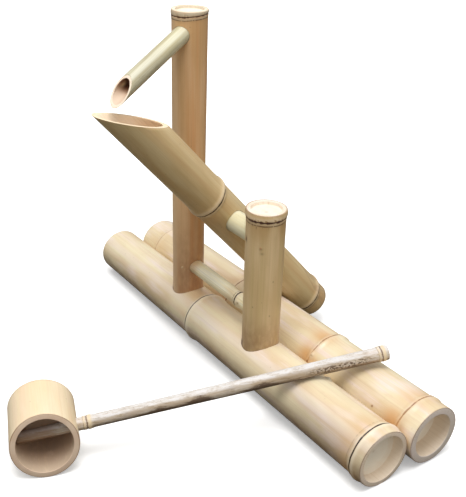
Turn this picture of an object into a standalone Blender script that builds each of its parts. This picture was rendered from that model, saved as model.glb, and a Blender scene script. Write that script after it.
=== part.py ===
"""Bamboo deer-scarer fountain: two ground poles, two posts, a tipping tube on its axle, a spout and a ladle.

Metres, +Z up. The origin is on the ground straight below the tube's pivot. +X runs along the ground
poles to their near ends, +Y runs from the front pole to the rear pole.
"""
import functools
import math

import bmesh
import bpy
import numpy as np
from mathutils import Vector

# Ground poles. Ends, posts and nodes are measured along X from the plane of the tipping tube.
FRONT_POLE_FAR_END = 0.2984
FRONT_POLE_NEAR_END = 0.3306
FRONT_POLE_FAR_RADIUS = 0.0332
FRONT_POLE_NEAR_RADIUS = 0.0370
FRONT_POLE_WALL = 0.0055
FRONT_POLE_MIDDLE_NODE = 0.0409
FRONT_POLE_END_NODE_INSET = 0.0179
FRONT_POLE_SOLE_DEPTH = 0.0006
REAR_POLE_FAR_END = 0.2874
REAR_POLE_NEAR_END = 0.3341
REAR_POLE_FAR_RADIUS = 0.0352
REAR_POLE_NEAR_RADIUS = 0.0382
REAR_POLE_WALL = 0.0075
REAR_POLE_NODE_SHARES = (0.0647, 0.3878, 0.7120, 0.9562)
REAR_POLE_RIDGE_PLANED = 0.0004

# Node ridges, diaphragms and cut ends of the culms
RIDGE_HEIGHT = 0.0014
RIDGE_HALF_WIDTH = 0.0058
RIDGE_ALONG_SHARES = (-1.0, -0.38, -0.06, 0.10, 0.36, 1.0)
RIDGE_OUT_SHARES = (0.0, 0.86, 0.42, 0.38, 1.0, 0.0)
DIAPHRAGM_THICKNESS = 0.0032
CHAMBER_CORNER = 0.0028
RIM_CHAMFER = 0.0005

# Posts
TALL_POST_PLACE = 0.0898
TALL_POST_ABOVE_SPOUT = 0.0240
TALL_POST_GROUND_RADIUS = 0.0222
TALL_POST_TOP_RADIUS = 0.0238
TALL_POST_WALL = 0.0050
TALL_POST_NODE_BELOW_TOP = 0.0063
TALL_POST_RECESS = 0.0040
SHORT_POST_PLACE = 0.0887
SHORT_POST_TOP = 0.2610
SHORT_POST_GROUND_RADIUS = 0.0246
SHORT_POST_TOP_RADIUS = 0.0253
SHORT_POST_WALL = 0.0055
SHORT_POST_NODE_BELOW_TOP = 0.0114
SHORT_POST_RECESS = 0.0055

# Axle and crossbar between the posts
AXLE_HEIGHT = 0.2166
AXLE_RADIUS = 0.0147
AXLE_WALL = 0.0035
CROSSBAR_HEIGHT = 0.1058
CROSSBAR_RADIUS = 0.0101
CROSSBAR_WALL = 0.0034
CROSSBAR_NODE = 0.0416
CROSSBAR_RIDGE_HEIGHT = 0.0009
BAR_PAST_POST_AXIS = 0.0080

# Tipping tube, measured from its pivot along its own axis
TUBE_BUTT = 0.2434
TUBE_BUTT_NODE_INSET = 0.0232
TUBE_MIDDLE_NODE = 0.0435
TUBE_MOUTH = 0.2082
TUBE_MOUTH_SLANT = math.radians(32.7)
TUBE_BUTT_RADIUS = 0.0266
TUBE_MOUTH_RADIUS = 0.0269
TUBE_WALL = 0.0050
TUBE_RIDGE_HEIGHT = 0.0011
AXLE_CLEARANCE = 0.0006

# Spout, measured from the tall post's axis along its own axis
SPOUT_ABOVE_LIP = 0.0008
SPOUT_TURN = math.radians(27.5)
SPOUT_DROP = math.radians(15.1)
SPOUT_MOUTH = 0.1656
SPOUT_MOUTH_SLANT = math.radians(30.3)
SPOUT_ROOT = 0.0080
SPOUT_RADIUS = 0.0115
SPOUT_WALL = 0.0024

# Ladle lying with its cup on the ground and its handle on the front pole
LADLE_ALONG = 0.1014
LADLE_IN_FRONT = 0.3174
LADLE_TURN = math.radians(69.2)
CUP_RADIUS = 0.0402
CUP_WALL = 0.0068
CUP_LENGTH = 0.0763
CUP_BOTTOM = 0.0060
CUP_MOUTH_SLANT = math.radians(79.0)
CUP_CORNER = 0.0060
CUP_EDGE = 0.0012
HANDLE_FROM_MOUTH = 0.0253
HANDLE_LENGTH = 0.4329
HANDLE_START_RADIUS = 0.0074
HANDLE_END_RADIUS = 0.0094
HANDLE_RIDGE_HEIGHT = 0.0007
HANDLE_RIDGE_HALF_WIDTH = 0.0040
HANDLE_NODE_SHARES = (0.119, 0.978)

# Pins and dowels
PIN_RADIUS = 0.0017
PIN_PAST_WALL = 0.0020
AXLE_PIN_TURN_TALL = math.radians(-55.0)
AXLE_PIN_TURN_SHORT = math.radians(-48.5)
CROSSBAR_PIN_TURN_TALL = math.radians(-55.2)
CROSSBAR_PIN_TURN_SHORT = math.radians(124.8)
FOOT_PIN_RADIUS = 0.0025
FOOT_PIN_ABOVE_FOOT = 0.0160
DOWEL_RADIUS = 0.0035
DOWEL_PAST_WALL = 0.0030
DOWEL_INSET = 0.0005

# Fits
SEAT_GAP = 0.0003
OVERRUN = 0.0300
WELD = 0.00001

POLE_SIDES = 36
POST_SIDES = 36
BAR_SIDES = 26
HANDLE_SIDES = 20
PIN_SIDES = 10
HOLE_ROLL = math.radians(2.3)
SMOOTH_ANGLE = math.radians(32.0)

FRONT_POLE_COLOUR = (0.66, 0.50, 0.29)
REAR_POLE_COLOUR = (0.72, 0.56, 0.34)
TALL_POST_COLOUR = (0.46, 0.29, 0.12)
SHORT_POST_COLOUR = (0.50, 0.36, 0.17)
TUBE_COLOUR = (0.47, 0.33, 0.15)
BAR_COLOUR = (0.68, 0.58, 0.29)
SPOUT_COLOUR = (0.67, 0.56, 0.27)
CUP_COLOUR = (0.74, 0.57, 0.33)
HANDLE_COLOUR = (0.40, 0.34, 0.27)
PIN_COLOUR = (0.24, 0.14, 0.06)
DOWEL_COLOUR = (0.58, 0.44, 0.25)


def new_collection(name):
    """A collection linked to the scene."""
    collection = bpy.data.collections.new(name)
    bpy.context.scene.collection.children.link(collection)
    return collection


def new_object(name, mesh, collection):
    """An object for a mesh, linked to a collection."""
    obj = bpy.data.objects.new(name, mesh)
    collection.objects.link(obj)
    return obj


def turned(name, points, sides, collection, closed=False, roll=0.0):
    """A shape turned about its own Z axis from an outline of radius and height, running down its outer side."""
    cos = math.cos(roll)
    sin = math.sin(roll)
    edges = [(index, index + 1) for index in range(len(points) - 1)]
    if closed:
        edges.append((len(points) - 1, 0))
    mesh = bpy.data.meshes.new(name)
    mesh.from_pydata([(radius * cos, radius * sin, height) for radius, height in points], edges, [])
    obj = new_object(name, mesh, collection)
    screw = obj.modifiers.new("Turn", "SCREW")
    screw.axis = "Z"
    screw.steps = sides
    screw.render_steps = sides
    screw.use_merge_vertices = True
    screw.merge_threshold = WELD
    return obj


def box(name, low, high, collection):
    """An upright box between two corners."""
    mesh = bpy.data.meshes.new(name)
    shape = bmesh.new()
    bmesh.ops.create_cube(shape, size=1.0)
    for vert in shape.verts:
        for axis in range(3):
            vert.co[axis] = low[axis] if vert.co[axis] < 0 else high[axis]
    shape.to_mesh(mesh)
    shape.free()
    return new_object(name, mesh, collection)


def cut(obj, cutter):
    """Take a cutter's shape out of an object."""
    boolean = obj.modifiers.new("Cut " + cutter.name, "BOOLEAN")
    boolean.operation = "DIFFERENCE"
    boolean.solver = "EXACT"
    boolean.object = cutter


def aim(obj, place, rise, turn):
    """Put an object's origin at a place, its Z axis rising by one angle and turned from -Y towards +X by another."""
    obj.location = place
    obj.rotation_euler = (math.pi / 2 - rise, 0.0, turn)


def direction(rise, turn):
    """Unit vector of the Z axis that aim gives."""
    return Vector((math.cos(rise) * math.sin(turn), -math.cos(rise) * math.cos(turn), math.sin(rise)))


def lay(obj, start, way):
    """Put an object's origin at a point and its Z axis along a way."""
    obj.location = start
    obj.rotation_euler = way.to_track_quat("Z", "Y").to_euler()


def crossing(start, way, other_start, other_way):
    """Distance between two straight axes and the place along each where they pass closest."""
    across = way.cross(other_way)
    between = other_start - start
    square = across.length_squared
    along = between.cross(other_way).dot(across) / square
    other_along = between.cross(way).dot(across) / square
    return abs(between.dot(across)) / math.sqrt(square), along, other_along


def settle(clearance, free, stuck):
    """Angle closest to the stuck one at which a clearance is still open."""
    for _ in range(50):
        middle = (free + stuck) / 2
        if clearance(middle) > 0:
            free = middle
        else:
            stuck = middle
    return free


class Culm:
    """Outer shape of a length of bamboo, from a low end to a high end along its axis."""

    def __init__(self, low, high, low_radius, high_radius, nodes, ridge, half_width):
        self.low = low
        self.high = high
        self.low_radius = low_radius
        self.high_radius = high_radius
        self.nodes = nodes
        self.ridge = ridge
        self.half_width = half_width

    def plain_radius(self, place):
        """Radius of the wall between nodes."""
        share = (place - self.low) / (self.high - self.low)
        return self.low_radius + (self.high_radius - self.low_radius) * share

    def radius(self, place):
        """Radius with the node ridges."""
        out = 0.0
        for node in self.nodes:
            share = np.interp((place - node) / self.half_width, RIDGE_ALONG_SHARES, RIDGE_OUT_SHARES)
            out = max(out, float(share))
        return self.plain_radius(place) + self.ridge * out

    def outline(self):
        """Outline from the axis at the high end, down the outer side, to the axis at the low end."""
        places = [self.high - RIM_CHAMFER, self.low + RIM_CHAMFER]
        for node in self.nodes:
            places += [node + share * self.half_width for share in RIDGE_ALONG_SHARES]
        inner = [place for place in places if self.low < place < self.high]
        points = [(0.0, self.high), (self.radius(self.high) - RIM_CHAMFER, self.high)]
        points += [(self.radius(place), place) for place in sorted(inner, reverse=True)]
        points += [(self.radius(self.low) - RIM_CHAMFER, self.low), (0.0, self.low)]
        return points


def chamber(name, culm, low, high, wall, sides, collection, corner=CHAMBER_CORNER):
    """Cutter for one chamber of a culm, its corners taken off."""
    low_radius = culm.plain_radius(low) - wall
    high_radius = culm.plain_radius(high) - wall
    points = [(0.0, high), (high_radius - corner, high), (high_radius, high - corner)]
    points += [(low_radius, low + corner), (low_radius - corner, low), (0.0, low)]
    return turned(name, points, sides, collection, roll=HOLE_ROLL)


def cut_chambers(obj, culm, walls, wall, sides, cutters):
    """Hollow a culm between places where it is closed or open; each place is (low side, high side) of a wall."""
    for number in range(len(walls) - 1):
        low = walls[number][1]
        high = walls[number + 1][0]
        cutter = chamber(obj.name + "_chamber_%d" % number, culm, low, high, wall, sides, cutters)
        cutter.location = obj.location
        cutter.rotation_euler = obj.rotation_euler
        cut(obj, cutter)


def diaphragm(node):
    """Low and high side of the wall across a culm at a node."""
    return (node - DIAPHRAGM_THICKNESS / 2, node + DIAPHRAGM_THICKNESS / 2)


def open_end(place, way):
    """Wall place for an open end: the bore runs out past it."""
    return (place + way * OVERRUN, place + way * OVERRUN)


def slant(obj, place, angle, reach, cutters):
    """Cut the high end of an aimed object off along a slant that leaves its underside the longer."""
    cutter = box(obj.name + "_slant", (-reach, -reach, 0.0), (reach, reach, reach), cutters)
    way = Vector((0.0, 0.0, place))
    way.rotate(obj.rotation_euler)
    cutter.location = obj.location + way
    rise = math.pi / 2 - obj.rotation_euler.x
    cutter.rotation_euler = (math.pi / 2 - rise - (math.pi / 2 - angle), 0.0, obj.rotation_euler.z)
    cut(obj, cutter)


def rod(name, start, end, radius, sides, collection, chamfer):
    """A round rod between two points, its ends chamfered."""
    length = (end - start).length
    points = [(0.0, length), (radius - chamfer, length), (radius, length - chamfer)]
    points += [(radius, chamfer), (radius - chamfer, 0.0), (0.0, 0.0)]
    obj = turned(name, points, sides, collection)
    lay(obj, start, end - start)
    return obj


def tube_between(name, start, end, radius, wall, sides, collection):
    """A plain open tube between two points."""
    length = (end - start).length
    inner = radius - wall
    points = [(radius - RIM_CHAMFER, length), (radius, length - RIM_CHAMFER)]
    points += [(radius, RIM_CHAMFER), (radius - RIM_CHAMFER, 0.0), (inner, 0.0), (inner, length)]
    obj = turned(name, points, sides, collection, closed=True)
    lay(obj, start, end - start)
    return obj


def hole(name, start, end, radius, sides, cutters):
    """Cutter for a round hole between two points."""
    length = (end - start).length
    points = [(0.0, length), (radius, length), (radius, 0.0), (0.0, 0.0)]
    obj = turned(name, points, sides, cutters, roll=HOLE_ROLL)
    lay(obj, start, end - start)
    return obj


def front_culm():
    """Shape of the front pole; places are X."""
    nodes = (-FRONT_POLE_MIDDLE_NODE, FRONT_POLE_NEAR_END - FRONT_POLE_END_NODE_INSET)
    return Culm(-FRONT_POLE_FAR_END, FRONT_POLE_NEAR_END, FRONT_POLE_FAR_RADIUS, FRONT_POLE_NEAR_RADIUS,
                nodes, RIDGE_HEIGHT, RIDGE_HALF_WIDTH)


def rear_culm():
    """Shape of the rear pole; places are X."""
    length = REAR_POLE_FAR_END + REAR_POLE_NEAR_END
    nodes = tuple(share * length - REAR_POLE_FAR_END for share in REAR_POLE_NODE_SHARES)
    return Culm(-REAR_POLE_FAR_END, REAR_POLE_NEAR_END, REAR_POLE_FAR_RADIUS, REAR_POLE_NEAR_RADIUS,
                nodes, RIDGE_HEIGHT, RIDGE_HALF_WIDTH)


def pole_spacing(front, rear):
    """Axis distance of the poles at two places, so that their ridges touch on both halves."""
    low = max(front.low, rear.low)
    high = min(front.high, rear.high)
    places = np.linspace(low, high, 1201)
    reach = np.array([front.radius(place) + rear.radius(place) + SEAT_GAP for place in places])
    half = len(places) // 2
    first = int(np.argmax(reach[:half]))
    second = half + int(np.argmax(reach[half:]))
    slope = (reach[second] - reach[first]) / (places[second] - places[first])
    base = reach[first] - slope * places[first]
    base += max(0.0, float(np.max(reach - base - slope * places)))
    return base, float(slope)


class Axis:
    """A straight axis given by its point at X = 0 and its slopes along X."""

    def __init__(self, side, side_slope, height, height_slope):
        self.start = Vector((0.0, side, height))
        self.slope = Vector((1.0, side_slope, height_slope))
        self.way = self.slope.normalized()

    def at(self, place):
        """Point of the axis at an X."""
        return self.start + self.slope * place


@functools.cache
def front_axis():
    """Axis of the front pole, its underside level on the ground."""
    culm = front_culm()
    slope = (culm.high_radius - culm.low_radius) / (culm.high - culm.low)
    return Axis(0.0, 0.0, culm.plain_radius(0.0) - FRONT_POLE_SOLE_DEPTH, slope)


@functools.cache
def rear_axis():
    """Axis of the rear pole, standing on its planed node ridges."""
    culm = rear_culm()
    side, side_slope = pole_spacing(front_culm(), culm)
    slope = (culm.high_radius - culm.low_radius) / (culm.high - culm.low)
    stand = RIDGE_HEIGHT - REAR_POLE_RIDGE_PLANED
    return Axis(side, side_slope, culm.plain_radius(0.0) + stand, slope)


def tube_lip_height():
    """Height of the tube's lower lip when its butt rests on the rear pole."""
    rise = tube_rise()
    lip = TUBE_MOUTH + TUBE_MOUTH_RADIUS / math.tan(TUBE_MOUTH_SLANT)
    return AXLE_HEIGHT + lip * math.sin(rise) - TUBE_MOUTH_RADIUS * math.cos(rise)


def spout_height():
    """Height at which the spout leaves the tall post's axis, so that its lip hangs just above the tube's lip."""
    lip = SPOUT_MOUTH + SPOUT_RADIUS / math.tan(SPOUT_MOUTH_SLANT)
    fall = lip * math.sin(SPOUT_DROP) + SPOUT_RADIUS * math.cos(SPOUT_DROP)
    return tube_lip_height() + SPOUT_ABOVE_LIP + fall


@functools.cache
def tall_post_top():
    """Height of the tall post, a set length above its spout."""
    return spout_height() + TALL_POST_ABOVE_SPOUT


def post_radius(ground_radius, top_radius, top, height):
    """Radius of a post at a height above the ground."""
    return ground_radius + (top_radius - ground_radius) * height / top


def tall_radius(height):
    """Radius of the tall post at a height."""
    return post_radius(TALL_POST_GROUND_RADIUS, TALL_POST_TOP_RADIUS, tall_post_top(), height)


def short_radius(height):
    """Radius of the short post at a height."""
    return post_radius(SHORT_POST_GROUND_RADIUS, SHORT_POST_TOP_RADIUS, SHORT_POST_TOP, height)


def foot_height(place, radius):
    """Height at which a post's flat foot comes to rest in the front pole's round chamber."""
    inner = front_culm().plain_radius(place) - FRONT_POLE_WALL
    return front_axis().at(place).z - math.sqrt(inner ** 2 - radius ** 2) + SEAT_GAP


def tall_culm():
    """Shape of the tall post; places are heights above the ground."""
    foot = foot_height(-TALL_POST_PLACE, TALL_POST_GROUND_RADIUS)
    top = tall_post_top()
    return Culm(foot, top, tall_radius(foot), TALL_POST_TOP_RADIUS,
                (top - TALL_POST_NODE_BELOW_TOP,), RIDGE_HEIGHT, RIDGE_HALF_WIDTH)


def short_culm():
    """Shape of the short post; places are heights above the ground."""
    foot = foot_height(SHORT_POST_PLACE, SHORT_POST_GROUND_RADIUS)
    return Culm(foot, SHORT_POST_TOP, short_radius(foot), SHORT_POST_TOP_RADIUS,
                (SHORT_POST_TOP - SHORT_POST_NODE_BELOW_TOP,), RIDGE_HEIGHT, RIDGE_HALF_WIDTH)


def tube_culm():
    """Shape of the tipping tube; places are measured from the pivot towards the mouth."""
    high = TUBE_MOUTH + TUBE_MOUTH_RADIUS / math.tan(TUBE_MOUTH_SLANT) + RIDGE_HALF_WIDTH
    return Culm(-TUBE_BUTT, high, TUBE_BUTT_RADIUS, TUBE_MOUTH_RADIUS,
                (-TUBE_BUTT + TUBE_BUTT_NODE_INSET, TUBE_MIDDLE_NODE), TUBE_RIDGE_HEIGHT, RIDGE_HALF_WIDTH)


@functools.cache
def tube_rise():
    """Angle at which the tube rests: its butt lies on the rear pole."""
    tube = tube_culm()
    rear = rear_culm()
    axis = rear_axis()
    pivot = Vector((0.0, 0.0, AXLE_HEIGHT))

    def clearance(rise):
        distance, along, other = crossing(pivot, direction(rise, 0.0), axis.start, axis.way)
        return distance - tube.radius(along) - rear.radius(other * axis.way.x) - SEAT_GAP

    return settle(clearance, 0.0, math.radians(75.0))


def handle_culm():
    """Shape of the ladle's handle; places are measured from the cup's axis."""
    inner = CUP_RADIUS - CUP_WALL
    start = -math.sqrt(inner ** 2 - HANDLE_START_RADIUS ** 2) + SEAT_GAP
    nodes = tuple(share * HANDLE_LENGTH for share in HANDLE_NODE_SHARES)
    return Culm(start, HANDLE_LENGTH, HANDLE_START_RADIUS, HANDLE_END_RADIUS,
                nodes, HANDLE_RIDGE_HEIGHT, HANDLE_RIDGE_HALF_WIDTH)


def cup_mouth():
    """Centre of the cup's mouth."""
    return Vector((LADLE_ALONG, -LADLE_IN_FRONT, CUP_RADIUS))


def handle_start():
    """Point where the handle crosses the cup's axis."""
    return cup_mouth() - direction(0.0, LADLE_TURN) * HANDLE_FROM_MOUTH


@functools.cache
def handle_rise():
    """Angle at which the handle rests on the poles."""
    handle = handle_culm()
    poles = ((front_culm(), front_axis()), (rear_culm(), rear_axis()))

    def clearance(rise):
        gaps = []
        for culm, axis in poles:
            way = direction(rise, LADLE_TURN + math.pi / 2)
            distance, along, other = crossing(handle_start(), way, axis.start, axis.way)
            gaps.append(distance - handle.radius(along) - culm.radius(other * axis.way.x) - SEAT_GAP)
        return min(gaps)

    return settle(clearance, math.radians(40.0), 0.0)


def pole_object(name, culm, axis, wall, parts, cutters):
    """A ground pole with its chambers; its underside is cut level with the ground."""
    points = [(radius, height - culm.low) for radius, height in culm.outline()]
    obj = turned(name, points, POLE_SIDES, parts)
    lay(obj, axis.at(culm.low), axis.way)
    local = Culm(0.0, culm.high - culm.low, culm.low_radius, culm.high_radius, (), 0.0, culm.half_width)
    walls = [open_end(0.0, -1)]
    walls += [diaphragm(node - culm.low) for node in culm.nodes]
    walls += [open_end(local.high, 1)]
    cut_chambers(obj, local, walls, wall, POLE_SIDES, cutters)
    reach = culm.high - culm.low
    side = axis.start.y
    ground = box(name + "_ground", (-reach, side - culm.high_radius, -OVERRUN),
                 (reach, side + culm.high_radius, 0.0), cutters)
    cut(obj, ground)
    return obj


def post_object(name, culm, place, wall, recess, parts, cutters):
    """A post with an open foot, a long chamber and a shallow recess above its top node."""
    obj = turned(name, culm.outline(), POST_SIDES, parts)
    obj.location = (place, 0.0, 0.0)
    node = culm.nodes[0]
    walls = [open_end(culm.low, -1), (node - DIAPHRAGM_THICKNESS / 2, culm.high - recess), open_end(culm.high, 1)]
    cut_chambers(obj, culm, walls, wall, POST_SIDES, cutters)
    return obj


def post_seat(name, place, radius, cutters):
    """Cutter for the round hole that a post goes through in the front pole's upper wall."""
    middle = front_axis().at(place)
    top = middle + Vector((0.0, 0.0, FRONT_POLE_NEAR_RADIUS + OVERRUN))
    return hole(name, middle, top, radius + SEAT_GAP, POST_SIDES, cutters)


def bar_point(place, height):
    """A point on the line of a bar between the posts."""
    return Vector((place, 0.0, height))


def axle_ends():
    """Ends of the axle: past the tall post's axis, and up to the short post's far wall."""
    bore = short_radius(AXLE_HEIGHT) - SHORT_POST_WALL
    reach = math.sqrt(bore ** 2 - AXLE_RADIUS ** 2) - SEAT_GAP
    start = bar_point(-TALL_POST_PLACE - BAR_PAST_POST_AXIS, AXLE_HEIGHT)
    return start, bar_point(SHORT_POST_PLACE + reach, AXLE_HEIGHT)


def crossbar_ends():
    """Ends of the crossbar, past the axis of each post."""
    start = bar_point(-TALL_POST_PLACE - BAR_PAST_POST_AXIS, CROSSBAR_HEIGHT)
    return start, bar_point(SHORT_POST_PLACE + BAR_PAST_POST_AXIS, CROSSBAR_HEIGHT)


def crossbar_object(parts, cutters):
    """The crossbar with its one node."""
    start, end = crossbar_ends()
    culm = Culm(start.x, end.x, CROSSBAR_RADIUS, CROSSBAR_RADIUS, (CROSSBAR_NODE,),
                CROSSBAR_RIDGE_HEIGHT, RIDGE_HALF_WIDTH)
    obj = turned("crossbar", culm.outline(), BAR_SIDES, parts)
    lay(obj, bar_point(0.0, CROSSBAR_HEIGHT), Vector((1.0, 0.0, 0.0)))
    walls = [open_end(culm.low, -1), diaphragm(CROSSBAR_NODE), open_end(culm.high, 1)]
    cut_chambers(obj, culm, walls, CROSSBAR_WALL, BAR_SIDES, cutters)
    return obj


def tube_object(parts, cutters):
    """The tipping tube: closed butt, cross hole for the axle, slanted mouth."""
    culm = tube_culm()
    obj = turned("tipping_tube", culm.outline(), POST_SIDES, parts)
    aim(obj, (0.0, 0.0, AXLE_HEIGHT), tube_rise(), 0.0)
    slant(obj, TUBE_MOUTH, TUBE_MOUTH_SLANT, TUBE_MOUTH, cutters)
    walls = [open_end(culm.low, -1), diaphragm(culm.nodes[0]), diaphragm(culm.nodes[1]), open_end(culm.high, 1)]
    cut_chambers(obj, culm, walls, TUBE_WALL, POST_SIDES, cutters)
    reach = TUBE_MOUTH_RADIUS + OVERRUN
    cut(obj, hole("axle_bore", bar_point(-reach, AXLE_HEIGHT), bar_point(reach, AXLE_HEIGHT),
                  AXLE_RADIUS + AXLE_CLEARANCE, BAR_SIDES, cutters))
    return obj


def spout_place():
    """Point where the spout's axis meets the tall post's axis."""
    return Vector((-TALL_POST_PLACE, 0.0, spout_height()))


def spout_object(parts, cutters):
    """The spout: a thin tube with a long slanted mouth."""
    end = SPOUT_MOUTH + SPOUT_RADIUS / math.tan(SPOUT_MOUTH_SLANT) + OVERRUN
    inner = SPOUT_RADIUS - SPOUT_WALL
    points = [(SPOUT_RADIUS, end), (SPOUT_RADIUS, RIM_CHAMFER - SPOUT_ROOT)]
    points += [(SPOUT_RADIUS - RIM_CHAMFER, -SPOUT_ROOT), (inner, -SPOUT_ROOT), (inner, end)]
    obj = turned("spout", points, BAR_SIDES, parts, closed=True)
    aim(obj, spout_place(), -SPOUT_DROP, SPOUT_TURN)
    slant(obj, SPOUT_MOUTH, SPOUT_MOUTH_SLANT, SPOUT_MOUTH, cutters)
    return obj


def cup_object(parts, cutters):
    """The ladle's cup: a short closed culm lying on its side."""
    points = [(0.0, OVERRUN), (CUP_RADIUS, OVERRUN), (CUP_RADIUS, CUP_EDGE - CUP_LENGTH)]
    points += [(CUP_RADIUS - CUP_EDGE, -CUP_LENGTH), (0.0, -CUP_LENGTH)]
    obj = turned("ladle_cup", points, POLE_SIDES, parts)
    aim(obj, cup_mouth(), 0.0, LADLE_TURN)
    inner = Culm(-CUP_LENGTH, OVERRUN, CUP_RADIUS, CUP_RADIUS, (), 0.0, RIDGE_HALF_WIDTH)
    hollow = chamber("cup_hollow", inner, CUP_BOTTOM - CUP_LENGTH, OVERRUN * 2, CUP_WALL, POLE_SIDES, cutters,
                     CUP_CORNER)
    aim(hollow, cup_mouth(), 0.0, LADLE_TURN)
    slant(obj, 0.0, CUP_MOUTH_SLANT, CUP_LENGTH, cutters)
    cut(obj, hollow)
    rise = handle_rise()
    way = direction(rise, LADLE_TURN + math.pi / 2)
    radius = handle_culm().radius(CUP_RADIUS) + SEAT_GAP
    cut(obj, hole("handle_seat", handle_start(), handle_start() + way * (CUP_RADIUS + OVERRUN), radius,
                  HANDLE_SIDES, cutters))
    return obj


def handle_object(parts):
    """The ladle's solid handle."""
    obj = turned("ladle_handle", handle_culm().outline(), HANDLE_SIDES, parts)
    aim(obj, handle_start(), handle_rise(), LADLE_TURN + math.pi / 2)
    return obj


def bar_pin_ends(place, turn, radius, bar_radius, bar_wall, height):
    """Ends of a pin from a post's outside through the near wall of the bar that the post holds."""
    start = Vector((place + radius * math.cos(turn), radius * math.sin(turn), height))
    side = math.copysign(1.0, math.sin(turn))
    target = Vector((place, side * (bar_radius - bar_wall / 2), height))
    way = (target - start).normalized()
    inside = side * (bar_radius - bar_wall - PIN_PAST_WALL)
    return start, start + way * ((inside - start.y) / way.y)


def bar_pin(name, ends, holed, parts, cutters):
    """A pin through a post and a bar, with its holes."""
    start, end = ends
    way = (end - start).normalized()
    obj = rod(name, start - way * SEAT_GAP, end, PIN_RADIUS, PIN_SIDES, parts, RIM_CHAMFER)
    cutter = hole(name + "_hole", start - way * OVERRUN, end + way * SEAT_GAP, PIN_RADIUS + SEAT_GAP,
                  PIN_SIDES, cutters)
    for piece in holed:
        cut(piece, cutter)
    return obj


def foot_pin(name, place, culm, wall, pole, post, parts, cutters):
    """A pin from the front pole's rear side into the foot of a post."""
    height = culm.low + FOOT_PIN_ABOVE_FOOT
    axis = front_axis().at(place)
    outer = math.sqrt(front_culm().plain_radius(place) ** 2 - (height - axis.z) ** 2)
    inner = culm.plain_radius(height) - wall - PIN_PAST_WALL
    start = Vector((place, outer - SEAT_GAP, height))
    end = Vector((place, inner, height))
    obj = rod(name, start, end, FOOT_PIN_RADIUS, PIN_SIDES, parts, RIM_CHAMFER)
    cutter = hole(name + "_hole", start + Vector((0.0, RIDGE_HALF_WIDTH, 0.0)), end - Vector((0.0, SEAT_GAP, 0.0)),
                  FOOT_PIN_RADIUS + SEAT_GAP, PIN_SIDES, cutters)
    cut(pole, cutter)
    cut(post, cutter)
    return obj


def pole_dowel(name, place, front, rear, parts, cutters):
    """A dowel from the rear pole's outer side through both its walls into the front pole."""
    near = front_axis().at(place)
    far = rear_axis().at(place)
    height = (near.z + far.z) / 2
    outer = far.y + math.sqrt(rear_culm().plain_radius(place) ** 2 - (height - far.z) ** 2)
    inner = front_culm().plain_radius(place) - FRONT_POLE_WALL
    start = Vector((place, outer - DOWEL_INSET, height))
    end = Vector((place, inner - DOWEL_PAST_WALL, height))
    obj = rod(name, start, end, DOWEL_RADIUS, PIN_SIDES, parts, RIM_CHAMFER)
    cutter = hole(name + "_hole", start + Vector((0.0, OVERRUN, 0.0)), end - Vector((0.0, SEAT_GAP, 0.0)),
                  DOWEL_RADIUS + SEAT_GAP, PIN_SIDES, cutters)
    cut(front, cutter)
    cut(rear, cutter)
    return obj


def colour(obj, name, rgb, roughness):
    """Give an object its own plain material."""
    material = bpy.data.materials.new(name)
    material.use_nodes = True
    shader = material.node_tree.nodes["Principled BSDF"]
    shader.inputs["Base Color"].default_value = (*rgb, 1.0)
    shader.inputs["Roughness"].default_value = roughness
    shader.inputs["Metallic"].default_value = 0.0
    obj.data.materials.append(material)


def finish(parts, cutters):
    """Apply the modifiers of every part, shade it smooth and hide the cutters."""
    bpy.context.view_layer.update()
    graph = bpy.context.evaluated_depsgraph_get()
    meshes = [(obj, bpy.data.meshes.new_from_object(obj.evaluated_get(graph))) for obj in parts.objects]
    for obj, mesh in meshes:
        obj.modifiers.clear()
        obj.data = mesh
        mesh.shade_smooth()
        mesh.set_sharp_from_angle(angle=SMOOTH_ANGLE)
    for cutter in cutters.objects:
        cutter.hide_render = True
        cutter.display_type = "WIRE"


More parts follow.
